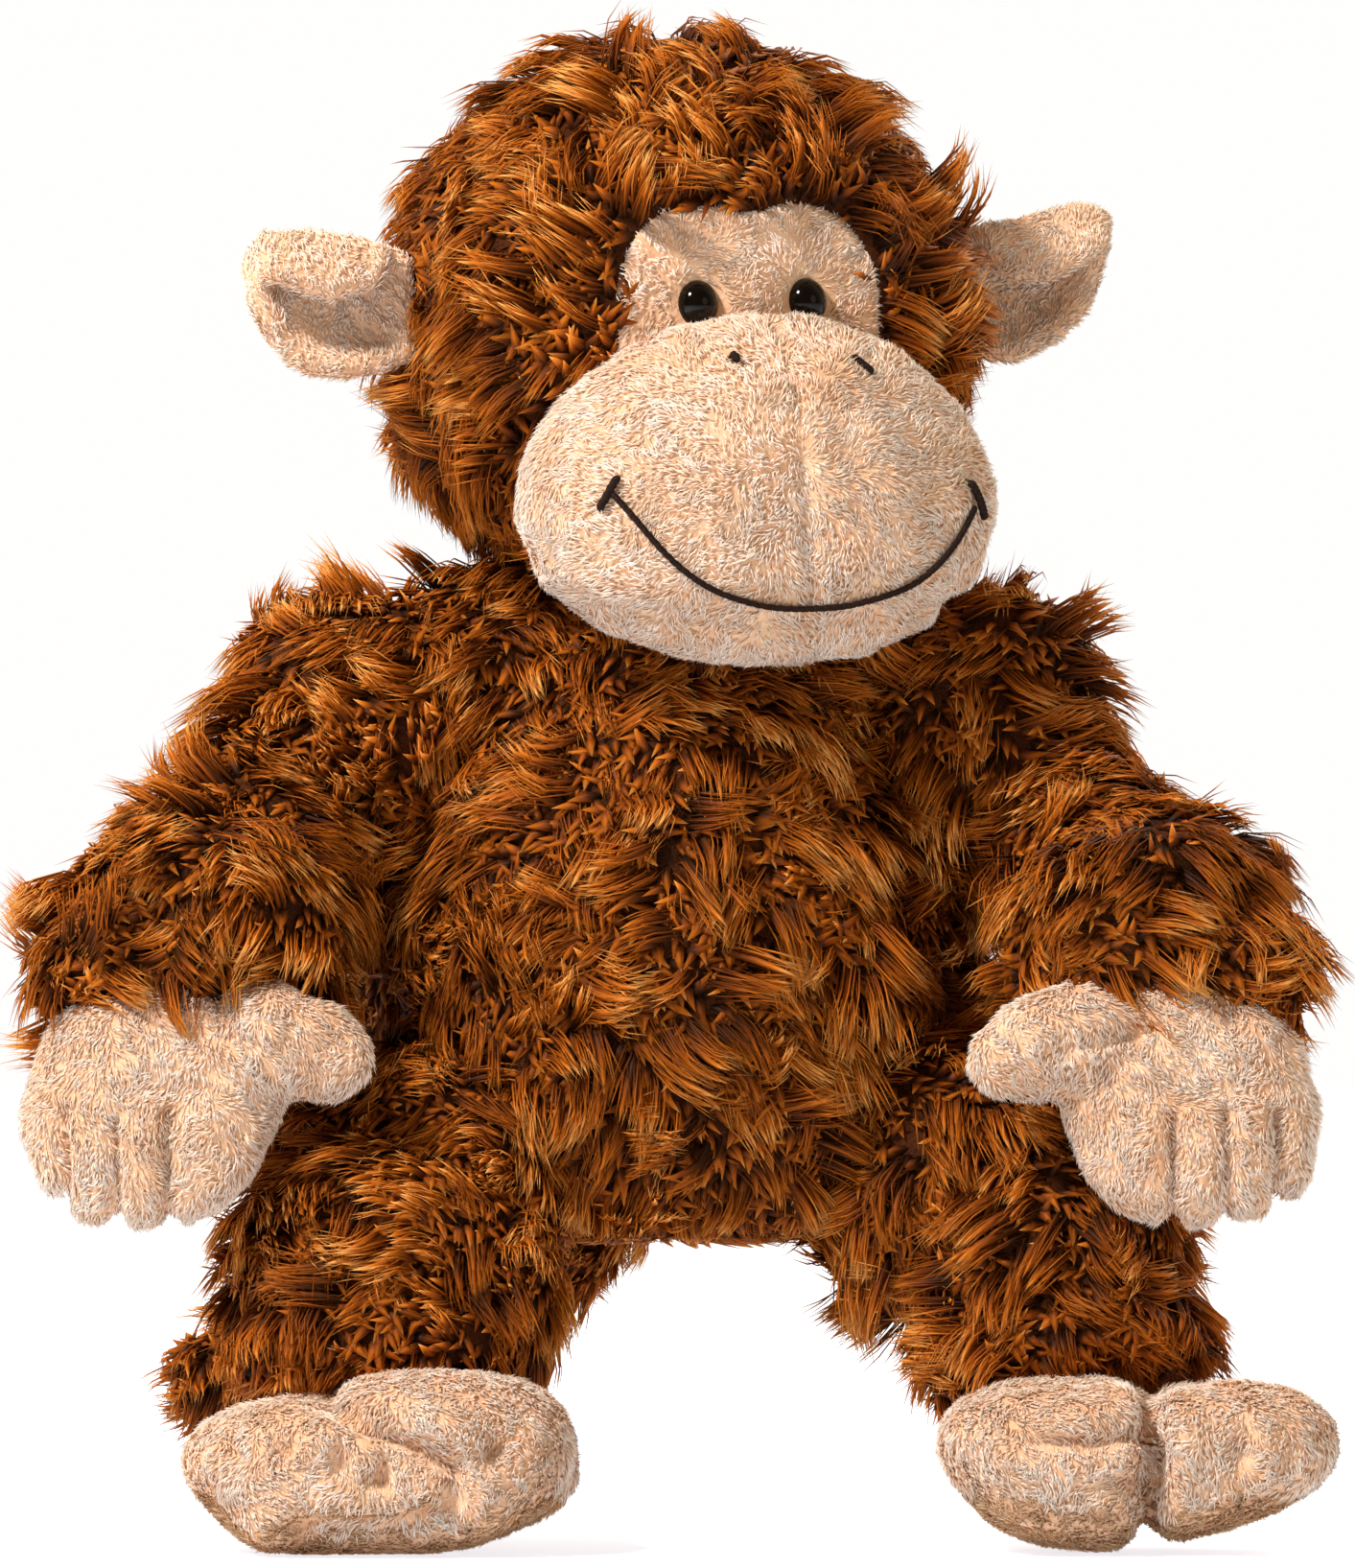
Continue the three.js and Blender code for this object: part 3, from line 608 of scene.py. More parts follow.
def short_pile(name, surface, flow, seed, material, length, allow, shape=as_grown):
    """Dense short nap, brushed in small drifts."""
    rng = np.random.default_rng(seed)
    points, normals = grown(surface, NAP_GAP, allow, rng)
    n = len(points)
    angle = 0.5 * (wave_noise(points, 14, 21) + 0.8 * wave_noise(points, 5, 22)) + rng.normal(0, 0.2, n)
    along, across = flow_frame(points, normals, flow(points, normals), angle)
    size = length * (1 + 0.1 * wave_noise(points, 4.5, 23) + rng.normal(0, 0.12, n)).clip(0.6, 1.5)
    rise = np.radians(NAP_LIFT + 4 * wave_noise(points, 7, 24) + rng.normal(0, 4, n))
    column = columns(0.5 + 0.2 * wave_noise(points, 8, 25) + rng.normal(0, 0.17, n))
    sunk, curl = points - normals * NAP_DEPTH, rng.normal(0, 0.5, n)
    lines = shape(paths(sunk, normals, along, across, size, rise, rise * 0.5, curl, 0.1, 2))
    thick = rng.uniform(0.75, 1.25, n)[:, None] * NAP_WIDTH * BLADE_TAPER[None]
    batch = (lines, thick, 3, normals, column, {"roll": rng.normal(math.pi / 2, 0.3, n), "wide": 1.5})
    return split_pile(name, [batch], material)


# ---------------------------------------------------------------- materials


def linear(code):
    values = [int(code[i : i + 2], 16) / 255 for i in (1, 3, 5)]
    return tuple(x / 12.92 if x <= 0.04045 else ((x + 0.055) / 1.055) ** 2.4 for x in values) + (1,)


class Finish:
    """A material with a few short ways to add and link nodes."""

    def __init__(self, name, **sockets):
        self.material = bpy.data.materials.new(name)
        self.material.use_nodes = True
        self.tree = self.material.node_tree
        self.shader = self.tree.nodes["Principled BSDF"]
        for key, value in sockets.items():
            self.shader.inputs[key.replace("_", " ")].default_value = value

    def add(self, kind, **values):
        node = self.tree.nodes.new(kind)
        for key, value in values.items():
            if hasattr(node, key):
                setattr(node, key, value)
            else:
                node.inputs[key].default_value = value
        return node

    def link(self, a, b):
        self.tree.links.new(a, b)

    def cloud(self, scale, detail):
        """Noise in the object's own coordinates."""
        place = self.add("ShaderNodeTexCoord")
        noise = self.add("ShaderNodeTexNoise", Scale=scale, Detail=detail)
        self.link(place.outputs["Object"], noise.inputs["Vector"])
        return noise.outputs["Fac"]

    def maths(self, operation, a, b):
        node = self.tree.nodes.new("ShaderNodeMath")
        node.operation = operation
        for socket, value in zip(node.inputs, (a, b)):
            if isinstance(value, (int, float)):
                socket.default_value = value
            else:
                self.link(value, socket)
        return node.outputs[0]

    def coloured(self, factor, stops):
        """The material, with its base colour from a ramp of (place, code) stops."""
        node = self.tree.nodes.new("ShaderNodeValToRGB")
        ramp = node.color_ramp
        while len(ramp.elements) < len(stops):
            ramp.elements.new(0.5)
        for element, (place, code) in zip(ramp.elements, stops):
            element.position = place
            element.color = linear(code)
        self.link(factor, node.inputs["Fac"])
        self.link(node.outputs["Color"], self.shader.inputs["Base Color"])
        return self.material


def pile_finish(name, stops, spread, streak, roughness, sheen, tint):
    """Pile whose colour runs from root to tip. Each column of the map is another shade."""
    f = Finish(name, Roughness=roughness, Sheen_Weight=sheen, Sheen_Roughness=0.45, Specular_IOR_Level=0.14)
    f.shader.inputs["Sheen Tint"].default_value = linear(tint)
    uv = f.add("ShaderNodeUVMap", uv_map="OFBake")
    parts = f.add("ShaderNodeSeparateXYZ")
    f.link(uv.outputs["UV"], parts.inputs[0])
    u, v = parts.outputs["X"], parts.outputs["Y"]
    lines = f.add("ShaderNodeTexNoise", noise_dimensions="1D", Scale=150.0, Detail=2.0)
    f.link(u, lines.inputs["W"])
    shade = f.maths("MULTIPLY", f.maths("SUBTRACT", u, 0.5), spread)
    fine = f.maths("MULTIPLY", f.maths("SUBTRACT", lines.outputs["Fac"], 0.5), streak)
    return f.coloured(f.maths("ADD", f.maths("ADD", v, shade), fine), stops)


def cloth_finish(name, codes, scale, strength, sheen):
    """Knitted backing with a mottled colour and a fine bump."""
    f = Finish(name, Roughness=0.9, Sheen_Weight=sheen, Sheen_Roughness=0.5, Specular_IOR_Level=0.15)
    broad, fine = f.cloud(scale, 4.0), f.cloud(scale * 14, 3.0)
    bump = f.add("ShaderNodeBump", Strength=strength, Distance=0.0012)
    f.link(fine, bump.inputs["Height"])
    f.link(bump.outputs["Normal"], f.shader.inputs["Normal"])
    mixed = f.maths("ADD", f.maths("MULTIPLY", broad, 0.6), f.maths("MULTIPLY", fine, 0.4))
    return f.coloured(mixed, [(0.36, codes[0]), (0.64, codes[1])])


def mottled_finish(name, codes, scale, **sockets):
    f = Finish(name, **sockets)
    return f.coloured(f.cloud(scale, 2.0), [(0.3, codes[0]), (0.7, codes[1])])


# Long pile runs from dark roots to golden tips, the fibre's own colour; the near-black at the roots is partly painted
# shade for the crevices between tufts and parts.
FUR_STOPS = [(0.0, "#160601"), (0.25, "#3f1a01"), (0.5, "#823c03"), (0.77, "#bd640c"), (1.0, "#eaa252")]
NAP_STOPS = [(0.0, "#dda77a"), (0.3, "#efc8a4"), (0.65, "#f9e0cb"), (1.0, "#fdf0e4")]
# The sole's pile is a darker tan than the nap above it: partly the sole patch's own colour, partly painted shade on
# the underside that faces the floor.
SOLE_STOPS = [(0.0, "#a9764a"), (0.35, "#cc9a6c"), (0.7, "#dfb58c"), (1.0, "#ecc9a2")]
FUR = pile_finish("long_pile", FUR_STOPS, 0.42, 0.3, roughness=0.6, sheen=0.06, tint="#e89a40")
NAP = pile_finish("short_pile", NAP_STOPS, 0.45, 0.2, roughness=0.85, sheen=0.3, tint="#ffeeda")
SOLE_NAP = pile_finish("sole_pile", SOLE_STOPS, 0.5, 0.2, roughness=0.7, sheen=0.3, tint="#ffe8cc")
# The backing under the long pile is dark brown: painted shade, standing in for the shadowed fur between the locks.
FUR_CLOTH = cloth_finish("long_pile_backing", ("#2c1204", "#5a2a08"), 110, 0.8, sheen=0.0)
NAP_CLOTH = cloth_finish("short_pile_backing", ("#e0aa80", "#f0c8a4"), 80, 0.4, sheen=0.3)
PLASTIC = mottled_finish(
    "eye_plastic", ("#050201", "#0e0603"), 300.0,
    Roughness=0.09, Coat_Weight=0.1, Coat_Roughness=0.03, IOR=1.4, Specular_IOR_Level=0.3,
)
THREAD = mottled_finish(
    "dark_thread", ("#120703", "#2c160a"), 1400.0,
    Roughness=0.7, Sheen_Weight=0.03, Sheen_Roughness=0.4, Specular_IOR_Level=0.15,
)


def finish_piece(obj, material, body=None):
    obj.data.materials.clear()
    obj.data.materials.append(material)
    if body is not None:
        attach(obj, body)
    return obj


# ---------------------------------------------------------------- soft forms

SLEEVE_FILL = [(88, -2, 143, 25), (144, -64, 70, 21), (118, -62, 76, 26)]
KNEE_FILL = {
    "right": [(-62, -52, -10, 34), (-81, -50, -9, 33), (-77, -30, 16, 27)],
    "left": [(99, -44, -8, 34), (92, -30, 14, 27)],
}

# A hand from the front, at the toy's own side: (distance from the middle plane, height)
PALM_OUTLINE = [
    (165, 42), (167.5, 32), (165.5, 20), (159, 11), (146, 5.5), (131, 4.5), (119, 7), (110, 14),
    (104, 25), (101, 36), (101, 50), (106, 62), (118, 69), (134, 70), (150, 64), (160, 54),
]
THUMB_BALLS = [(106, -82, 51, 16), (95, -84, 50, 13.5), (88, -86, 47.5, 10.5)]
PALM_MIDDLE = (135, 36)
PALM_Y, PALM_HALF, PALM_LEAN = -80, 18, 0.28


def hand_form(side):
    """Palm and fingers as one pillow, with the thumb at the inner side."""
    s = SIDES[side]
    bm = bmesh.new()
    outline = smooth_loop([(s * x, z) for x, z in PALM_OUTLINE], 60)
    loft(bm, outline, (s * PALM_MIDDLE[0], PALM_MIDDLE[1]), PALM_Y, PALM_HALF, 2.3, lean=PALM_LEAN)
    for x, y, z, radius in THUMB_BALLS:
        ball_mesh(bm, (s * x, y, z), radius)
    obj = object_from(bm, f"hand_{side}_plush")
    remeshed(obj, 2.0, 10, 0.4)
    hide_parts(f"hand_{side}_skin", f"hand_{side}_stuffing")
    return obj


# A foot from the front: outlines, middle, Y of the middle, half depth
FOOT_LOBES = {
    "right": [
        (
            [
                (-125, -57), (-122, -50), (-111.5, -44), (-93.5, -41.5), (-80, -36), (-64, -34), (-41, -36),
                (-29.5, -44), (-25, -54.5), (-28, -65), (-38.5, -72.5), (-55, -77.5), (-71, -79), (-103, -78.5),
                (-117, -70),
            ],
            (-75, -60), -97, 42,
        ),
    ],
    "left": [
        (
            [
                (69.5, -52), (73, -43.5), (82, -39.5), (93, -38), (105, -36.5), (116, -37.5), (124, -42),
                (127, -50), (125, -60), (122, -70), (114, -77), (100, -78), (86, -73), (75, -63),
            ],
            (99, -57), -92, 42,
        ),
        (
            [
                (118, -45), (128, -40.5), (138, -38), (150, -37.5), (161, -40), (168, -45.5), (171.5, -54),
                (167, -62), (155, -68), (140, -74), (126, -74), (118, -62),
            ],
            (142, -55), -92, 36,
        ),
    ],
}


def foot_form(side):
    bm = bmesh.new()
    for outline, middle, y_mid, half in FOOT_LOBES[side]:
        loft(bm, smooth_loop(outline, 60), middle, y_mid, half)
    obj = object_from(bm, f"foot_{side}_plush")
    remeshed(obj, 2.2, 8, 0.3)
    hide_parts(f"foot_{side}_skin", f"foot_{side}_stuffing")
    return obj


NECK_FILL = [(-44, 4, 146, 30), (44, 4, 146, 30), (-20, 8, 160, 26), (20, 8, 160, 26)]
TAIL_FILL = [(-122, 72, -40, 11), (-113, 76, -38, 12)]
BELLY_FILL = [(-48, 2, 70, 34), (48, 2, 70, 34), (-44, -4, 44, 34), (44, -4, 44, 34)]
HEAD_FILL = [(-41, -4, 236, 33), (47, -6, 240, 32), (-44, 6, 222, 28)]
TORSO_NODES = ["torso_skin", "torso_stuffing", "pellet_pouch", "neck_stuffing"]
TAIL_NODES = ["tail_root_skin", "tail_root_stuffing", "tail_tip_skin", "tail_tip_stuffing"]
MUZZLE_NODES = ["muzzle_panel_right", "muzzle_panel_left", "chin_panel", "muzzle_stuffing"]


def skins_and_stuffings(side, *sections):
    return [f"{section}_{side}_{layer}" for section in sections for layer in ("skin", "stuffing")]


forms = {
    "torso": soft_form("torso_fabric", TORSO_NODES, 4.0, 8, balls=NECK_FILL + BELLY_FILL),
    "head": soft_form("head_fabric", ["head_skin", "head_stuffing"], 4.0, 8, balls=HEAD_FILL),
}
for side in SIDES:
    nodes = skins_and_stuffings(side, "upper_arm", "forearm") + [f"shoulder_stuffing_{side}"]
    sleeve = [(*mirrored(ball[:3], side), ball[3]) for ball in SLEEVE_FILL]
    forms[f"arm_{side}"] = soft_form(f"arm_{side}_fabric", nodes, 3.5, 8, balls=sleeve)
    nodes = skins_and_stuffings(side, "thigh", "shin") + [f"hip_stuffing_{side}"]
    forms[f"leg_{side}"] = soft_form(f"leg_{side}_fabric", nodes, 3.5, 8, balls=KNEE_FILL[side])
    forms[f"hand_{side}"] = hand_form(side)
    forms[f"foot_{side}"] = foot_form(side)
forms["tail"] = soft_form("tail_fabric", TAIL_NODES, 3.0, 6, balls=TAIL_FILL)
muzzle = forms["muzzle"] = soft_form("muzzle_plush", MUZZLE_NODES, 2.2, 14, 0.8)


def near_line(values, line, width):
    return np.exp(-(((values - line) / width) ** 2))


# Muzzle: a seam down its middle and one under the lip
TAPER_LEFT, TAPER_BELOW = 0.94, 0.95  # of the panels
LIP_AT, LIP_CURVE = -34, 0.002
points = points_of(muzzle)
local = to_head(points) - MUZZLE_MIDDLE
local[:, 0] *= np.where(local[:, 0] > 0, TAPER_LEFT, 1)
local[:, 2] *= np.where(local[:, 2] < 0, TAPER_BELOW, 1)
move_points(muzzle, from_head(local + MUZZLE_MIDDLE))
held = near_line(local[:, 0], 0, 2.0) + near_line(local[:, 2], LIP_AT + LIP_CURVE * local[:, 0] ** 2, 2.0)
filled_out(muzzle, cap=2.0, held=np.clip(held + np.clip((local[:, 1] + 2) / 6, 0, 1), 0, 1))
points, normals = points_of(muzzle), normals_of(muzzle)
local = to_head(points) - MUZZLE_MIDDLE
front = np.clip((-local[:, 1] - 2) / 12, 0, 1)
middle = near_line(local[:, 0], 0, 2.4) * 1.5 * front * (local[:, 2] > LIP_AT - 4)
lip = near_line(local[:, 2], LIP_AT + LIP_CURVE * local[:, 0] ** 2, 2.2) * 2.0 * front
puff = 1.2 * near_line(np.abs(local[:, 0]), 22, 14) * front
points += normals * (puff - middle - lip)[:, None]
points += normals * (0.35 * wave_noise(points, 9, 31))[:, None]
move_points(muzzle, points)

# Hands: three lines of stitching that part the fingers, a fold over the knuckles and one at the thumb's root
FINGER_LINES = (157, 143, 129.5)
FINGERS_TOP = 37
KNUCKLES = 39.5
for side, s in SIDES.items():
    hand = forms[f"hand_{side}"]
    points = points_of(hand)
    x, z = points[:, 0] * s, points[:, 2]
    held = sum(near_line(x, line, 2.0) for line in FINGER_LINES) * (z < FINGERS_TOP)
    held = held + near_line(z, KNUCKLES, 2.0) * (x > 114) + (z > 60)
    filled_out(hand, cap=2.2, held=np.clip(held, 0, 1))
    points, normals = points_of(hand), normals_of(hand)
    x, z = points[:, 0] * s, points[:, 2]
    front = normals[:, 1] < 0.2
    inward = np.zeros(len(points))
    for line in FINGER_LINES:
        inward += 4.4 * near_line(x, line, 2.2) * np.clip((FINGERS_TOP - z) / 4, 0, 1)
    fold = np.clip((x - 112) / 8, 0, 1) * np.clip((162 - x) / 6, 0, 1) * front
    inward += (1.1 * near_line(z, KNUCKLES, 3.6) - 1.2 * near_line(z, 29, 7.0)) * fold
    root = near_line(z, 53 + 0.2 * (x - 114), 2.4) * np.clip((x - 98) / 5, 0, 1) * np.clip((128 - x) / 6, 0, 1)
    inward += 1.8 * root * front
    points = points - normals * inward[:, None]
    points += normals * (0.4 * wave_noise(points, 12, 32))[:, None]
    move_points(hand, points)

# Feet: tacks between the toes as (x, z, width, height, depth), seen from the front
TOE_DENTS = {
    "right": [
        (-112, -52, 3.0, 4.5, 3.2), (-98, -50, 3.0, 5.0, 3.4), (-84, -53, 3.0, 5.0, 3.4),
        (-74, -58, 3.0, 4.5, 2.8), (-45, -52, 4.5, 4.5, 4.2),
    ],
    "left": [
        (123.5, -52, 2.8, 14, 5.0), (115, -60, 7, 3, 2.6), (146, -52, 3, 6, 1.8), (158, -54, 3, 6, 1.6),
    ],
}
TACK_PULL = 1.5  # times the depth above
FOOT_CREASES = {  # a folded line between the lobes, as (x, z) corners, with its depth and width
    "right": [([(-90, -38), (-79, -45), (-67, -50), (-56, -57), (-55, -66), (-70, -72), (-95, -73)], 5.6, 3.2)],
    "left": [
        ([(82, -44), (94, -50), (108, -50), (122, -48)], 3.4, 3.0),
        ([(122, -40), (124, -52), (122, -72)], 4.0, 3.2),
    ],
}


def off_line(points, corners):
    """How far points are from a line of corners, as seen from the front."""
    xz = points[:, [0, 2]]
    best = np.full(len(points), 1e9)
    for a, b in zip(np.array(corners, float), np.array(corners[1:], float)):
        share = np.clip(((xz - a) @ (b - a)) / ((b - a) @ (b - a)), 0, 1)[:, None]
        best = np.minimum(best, np.linalg.norm(xz - a - share * (b - a), axis=1))
    return best


for side in SIDES:
    foot = forms[f"foot_{side}"]
    points = points_of(foot)
    held = (points[:, 2] < FLOOR_Z + 5).astype(float)
    for x, z, wide, tall, _ in TOE_DENTS[side]:
        held += near_line(points[:, 0], x, wide) * near_line(points[:, 2], z, tall) * (points[:, 1] < -95)
    filled_out(foot, cap=2.2, held=np.clip(held, 0, 1))
    points, normals = points_of(foot), normals_of(foot)
    front = np.clip(-normals[:, 1] + 0.3, 0, 1)
    for x, z, wide, tall, deep in TOE_DENTS[side]:
        near = np.exp(-(((points[:, 0] - x) / wide) ** 2) - ((points[:, 2] - z) / tall) ** 2)
        points = points - normals * (near * TACK_PULL * deep * front)[:, None]
    for corners, deep, wide in FOOT_CREASES[side]:
        off = off_line(points, corners)
        inward = deep * near_line(off, 0, wide) - 0.45 * deep * near_line(off, 2.6 * wide, 1.6 * wide)
        points = points - normals * (inward * front)[:, None]
    points += normals * (0.5 * wave_noise(points, 13, 33))[:, None]
    points[:, 2] = np.maximum(points[:, 2], FLOOR_Z + 1.0)
    move_points(foot, points)

# Ears: a cupped leaf with a rolled rim and a flap folded over from the top
EAR_HINGE = {"right": 82, "left": 80}
EAR_RIM = {
    "right": [(-3, 10), (8, 14), (22, 16.5), (34, 16), (38, 11), (37, 2), (32, -8), (24, -15), (12, -16.5), (-3, -13)],
    "left": [(-3, 12), (8, 15), (22, 18), (34, 20), (39, 18), (37, 8), (32, -4), (23, -12), (12, -16), (-3, -14)],
}
EAR_FLAP = {
    "right": [(4, 13), (20, 15.5), (35, 14.5), (36, 9), (29, 6), (19, 3), (8, 6)],
    "left": [(4, 14), (20, 17), (36, 19), (38, 14), (29, 8), (19, 4), (8, 6)],
}


def ear_form(side):
    bm = bmesh.new()

    def put(place, forward, radius):
        across = SIDES[side] * (EAR_HINGE[side] + place[0])
        ball_mesh(bm, from_head([[across, -forward, 6 + place[1]]])[0], radius)

    middle = np.array([15.0, 0.0])
    for p in along_edges(EAR_RIM[side], 4):
        put(p, 2.0, 3.1)
        for inner in (0.8, 0.6, 0.4, 0.2, 0.0):
            put(middle + (p - middle) * inner, -6.0 * (1 - inner**2) + 2.0, 2.6)
    middle = np.array(EAR_FLAP[side], float).mean(axis=0)
    for p in along_edges(EAR_FLAP[side], 3):
        for inner in (1.0, 0.66, 0.33):
            q = middle + (p - middle) * inner
            put(q, 8.5 - 0.5 * max(0.0, q[1] - 8), 2.4)
    obj = object_from(bm, f"ear_{side}_plush")
    remeshed(obj, 1.5, 6, 0.4)
    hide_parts(f"ear_{side}")
    return obj


for side in SIDES:
    forms[f"ear_{side}"] = ear_form(side)

# ---------------------------------------------------------------- face patch and eyes

BACKWARD = HEAD @ np.array([0, 1.0, 0])


def cast(surface, across, start, up, out):
    """A point on the front of a surface, measured in the head's frame, and the surface's normal there."""
    start = from_head([[across, start, up]])[0]
    place, normal, _, _ = surface.tree.ray_cast(Vector(start), Vector(BACKWARD))
    return np.array(place) + np.array(normal) * out, np.array(normal)


head_surface = Surface(forms["head"])
muzzle_surface = Surface(muzzle)


def on_head(across, up, out):
    return cast(head_surface, across, -140, up, out)


def on_muzzle(across, up, out):
    return cast(muzzle_surface, across, -180, MUZZLE_MIDDLE[2] + up, out)


PATCH_OUTLINE = [
    (-34.5, -14), (-36, 2), (-35, 12), (-29, 23), (-19, 28.5), (-9, 28.5), (0, 26.5), (9, 28.5),
    (19, 28.5), (29, 23), (35, 12), (36, 2), (34.5, -14), (20, -22), (0, -24), (-20, -22),
]
PATCH_MIDDLE = np.array([0.0, 3.0])
PATCH_RINGS = 16
PATCH_THICK = 2.6
PATCH_SEAM = [1.0, 0.99]  # the long pile starts on this share of the outline
patch_loop = smooth_loop(PATCH_OUTLINE, 72)


def patch_form():
    """A padded patch on the head, rounded off to its rim, with its back sunk into the head."""
    n, vertices = len(patch_loop), []
    for r in range(1, PATCH_RINGS + 1):
        share = r / PATCH_RINGS
        rise = PATCH_THICK * math.sqrt(max(0.0, 1 - share**6))
        for p in patch_loop:
            vertices.append(on_head(*(PATCH_MIDDLE + (p - PATCH_MIDDLE) * share), 0.3 + rise)[0])
    middle, rim = len(vertices), len(vertices) - n
    vertices.append(on_head(*PATCH_MIDDLE, 2.9)[0])
    faces = ring_faces(PATCH_RINGS, n)
    faces += [(middle, (i + 1) % n, i) for i in range(n)]
    back = len(vertices)
    for p in patch_loop:
        vertices.append(on_head(p[0] * 0.98, PATCH_MIDDLE[1] + (p[1] - PATCH_MIDDLE[1]) * 0.98, -2.5)[0])
    faces += [(rim + i, rim + (i + 1) % n, back + (i + 1) % n, back + i) for i in range(n)]
    faces.append(tuple(back + i for i in range(n)))
    obj = mesh_object("face_patch_plush", vertices, faces)
    bm = bmesh.new()
    bm.from_mesh(obj.data)
    bmesh.ops.recalc_face_normals(bm, faces=bm.faces)
    bm.to_mesh(obj.data)
    bm.free()
    obj.data.shade_smooth()
    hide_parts("face_patch")
    return obj


forms["face_patch"] = patch_form()
EYE_RADIUS, EYE_HEIGHT = 6.3, 5.2
EYE_NARROW = 0.88  # across, against up
EYE_SIDES = 40


def dome(name, place, normal):
    """A glossy domed eye with a rolled edge."""
    a = unit(np.cross(normal, [0, 0, 1.0]))
    b = np.cross(normal, a)
    profile = [(EYE_RADIUS * 0.8, -3.0), (EYE_RADIUS * 1.02, -1.2)]
    profile += [(EYE_RADIUS * math.cos(t), EYE_HEIGHT * math.sin(t)) for t in np.linspace(0, math.pi / 2, 12)[:-1]]
    vertices = []
    for r, h in profile:
        for t in np.arange(EYE_SIDES) / EYE_SIDES * 2 * math.pi:
            vertices.append(place + (a * math.cos(t) * EYE_NARROW + b * math.sin(t)) * r + normal * h)
    top = len(vertices)
    last = top - EYE_SIDES
    vertices.append(place + normal * EYE_HEIGHT)
    faces = ring_faces(len(profile), EYE_SIDES)
    faces += [(last + i, last + (i + 1) % EYE_SIDES, top) for i in range(EYE_SIDES)]
    faces.append(tuple(range(EYE_SIDES))[::-1])
    return mesh_object(name, vertices, faces)


eyes = {}
for side, s in SIDES.items():
    place, normal = on_head(s * EYE_ACROSS, EYE_UP, 2.6)
    eyes[side] = dome(f"eye_{side}_dome", place, unit(normal * 0.6 - BACKWARD * 0.4))
    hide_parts(f"eye_{side}", f"eye_washer_{side}")


def stitch_run(name, line, normals, step, long, thick, slant):
    """Overlapping short stitches along a line: each a pointed tube that dips in at both ends."""
    length = np.concatenate([[0], np.cumsum(np.linalg.norm(np.diff(line, axis=0), axis=1))])

    def at(values, places):
        return np.stack([np.interp(places, length, values[:, k]) for k in range(3)], axis=1)

    places = np.arange(0, length[-1], step)
    centre, up = at(line, places), unit(at(normals, places))
    along = unit(at(line, places + 0.4) - at(line, places - 0.4))
    sign = np.where(np.arange(len(places)) % 2 == 0, 1.0, -1.0)[:, None]
    tilt = unit(along + np.cross(up, along) * slant * sign)
    bm = bmesh.new()
    for c, t, u in zip(centre, tilt, up):
        side = np.cross(u, t)
        rings = []
        for f in np.linspace(-1, 1, 7):
            r = thick * math.sqrt(max(0.02, 1 - f * f))
            p = c + t * f * long / 2 + u * (0.35 * thick - 0.6 * thick * f * f)
            round_it = np.arange(8) / 8 * 2 * math.pi
            rings.append([bm.verts.new((p + (side * math.cos(w) + u * math.sin(w)) * r) * MM) for w in round_it])
        skin_rings(bm, rings)
    bmesh.ops.recalc_face_normals(bm, faces=bm.faces)
    obj = object_from(bm, name)
    obj.data.shade_smooth()
    return obj


# Lines of thread on the muzzle, from its middle: (across, up)
SMILE = [
    (-50, -0.8), (-43.6, -9.8), (-35.7, -18.6), (-25.5, -25.2), (-13.8, -29), (-1.6, -30.2),
    (8, -30), (19.8, -27.8), (31.5, -23.6), (41.2, -15.6), (48.4, -5.5),
]
SMILE_TICKS = [[(-53.6, -3.2), (-52, -1), (-49.2, 3.8)], [(51.6, -7.6), (50.2, -3.6), (47.8, 0.4)]]
NOSTRILS = {  # across, up, reach, length and thickness of a stitch
    "right": (-15.4, 34.0, 0.3, 2.4, 1.25),
    "left": (19.4, 31.6, 1.7, 3.0, 0.75),
}
THREAD_OUT = 1.3
BRIDGE_ROUNDS = 30


def thread_line(corners, count, out, bridge=False):
    """Places and normals on the muzzle along a rounded line. bridge takes it straight over the seam."""
    p = np.array(corners, float)
    found = []
    for x in np.linspace(0, len(p) - 1, count):
        i = min(int(x), len(p) - 2)
        at = rounded(p[max(i - 1, 0)], p[i], p[i + 1], p[min(i + 2, len(p) - 1)], x - i)
        found.append(on_muzzle(at[0], at[1], out))
    places, ways = np.array([f[0] for f in found]), np.array([f[1] for f in found])
    for _ in range(BRIDGE_ROUNDS if bridge else 0):
        for values in (places, ways):
            values[1:-1] = (values[:-2] + 2 * values[1:-1] + values[2:]) / 4
    return places, unit(ways)


mouth = stitch_run("mouth_stitches", *thread_line(SMILE, 160, THREAD_OUT, bridge=True), 1.3, 3.6, 0.85, 0.14)
ticks = [
    stitch_run(f"tick_{number}", *thread_line(corners, 16, THREAD_OUT), 1.1, 3.2, 1.15, 0.2)
    for number, corners in enumerate(SMILE_TICKS)
]
bm = bmesh.new()
for o in [mouth, *ticks]:
    bm.from_mesh(o.data)
bm.to_mesh(mouth.data)
bm.free()
for o in ticks:
    bpy.data.objects.remove(o)
mouth.data.shade_smooth()
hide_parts("mouth_embroidery")
nostrils = {}
for side in SIDES:
    across, up, reach, long, thick = NOSTRILS[side]
    line = [(across - reach, up + reach * 0.9), (across + reach, up - reach * 0.9)]
    nostrils[side] = stitch_run(f"nostril_{side}_stitches", *thread_line(line, 8, 1.2), 0.45, long, thick, 0.7)
    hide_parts(f"nostril_{side}")

# ---------------------------------------------------------------- where the pile grows


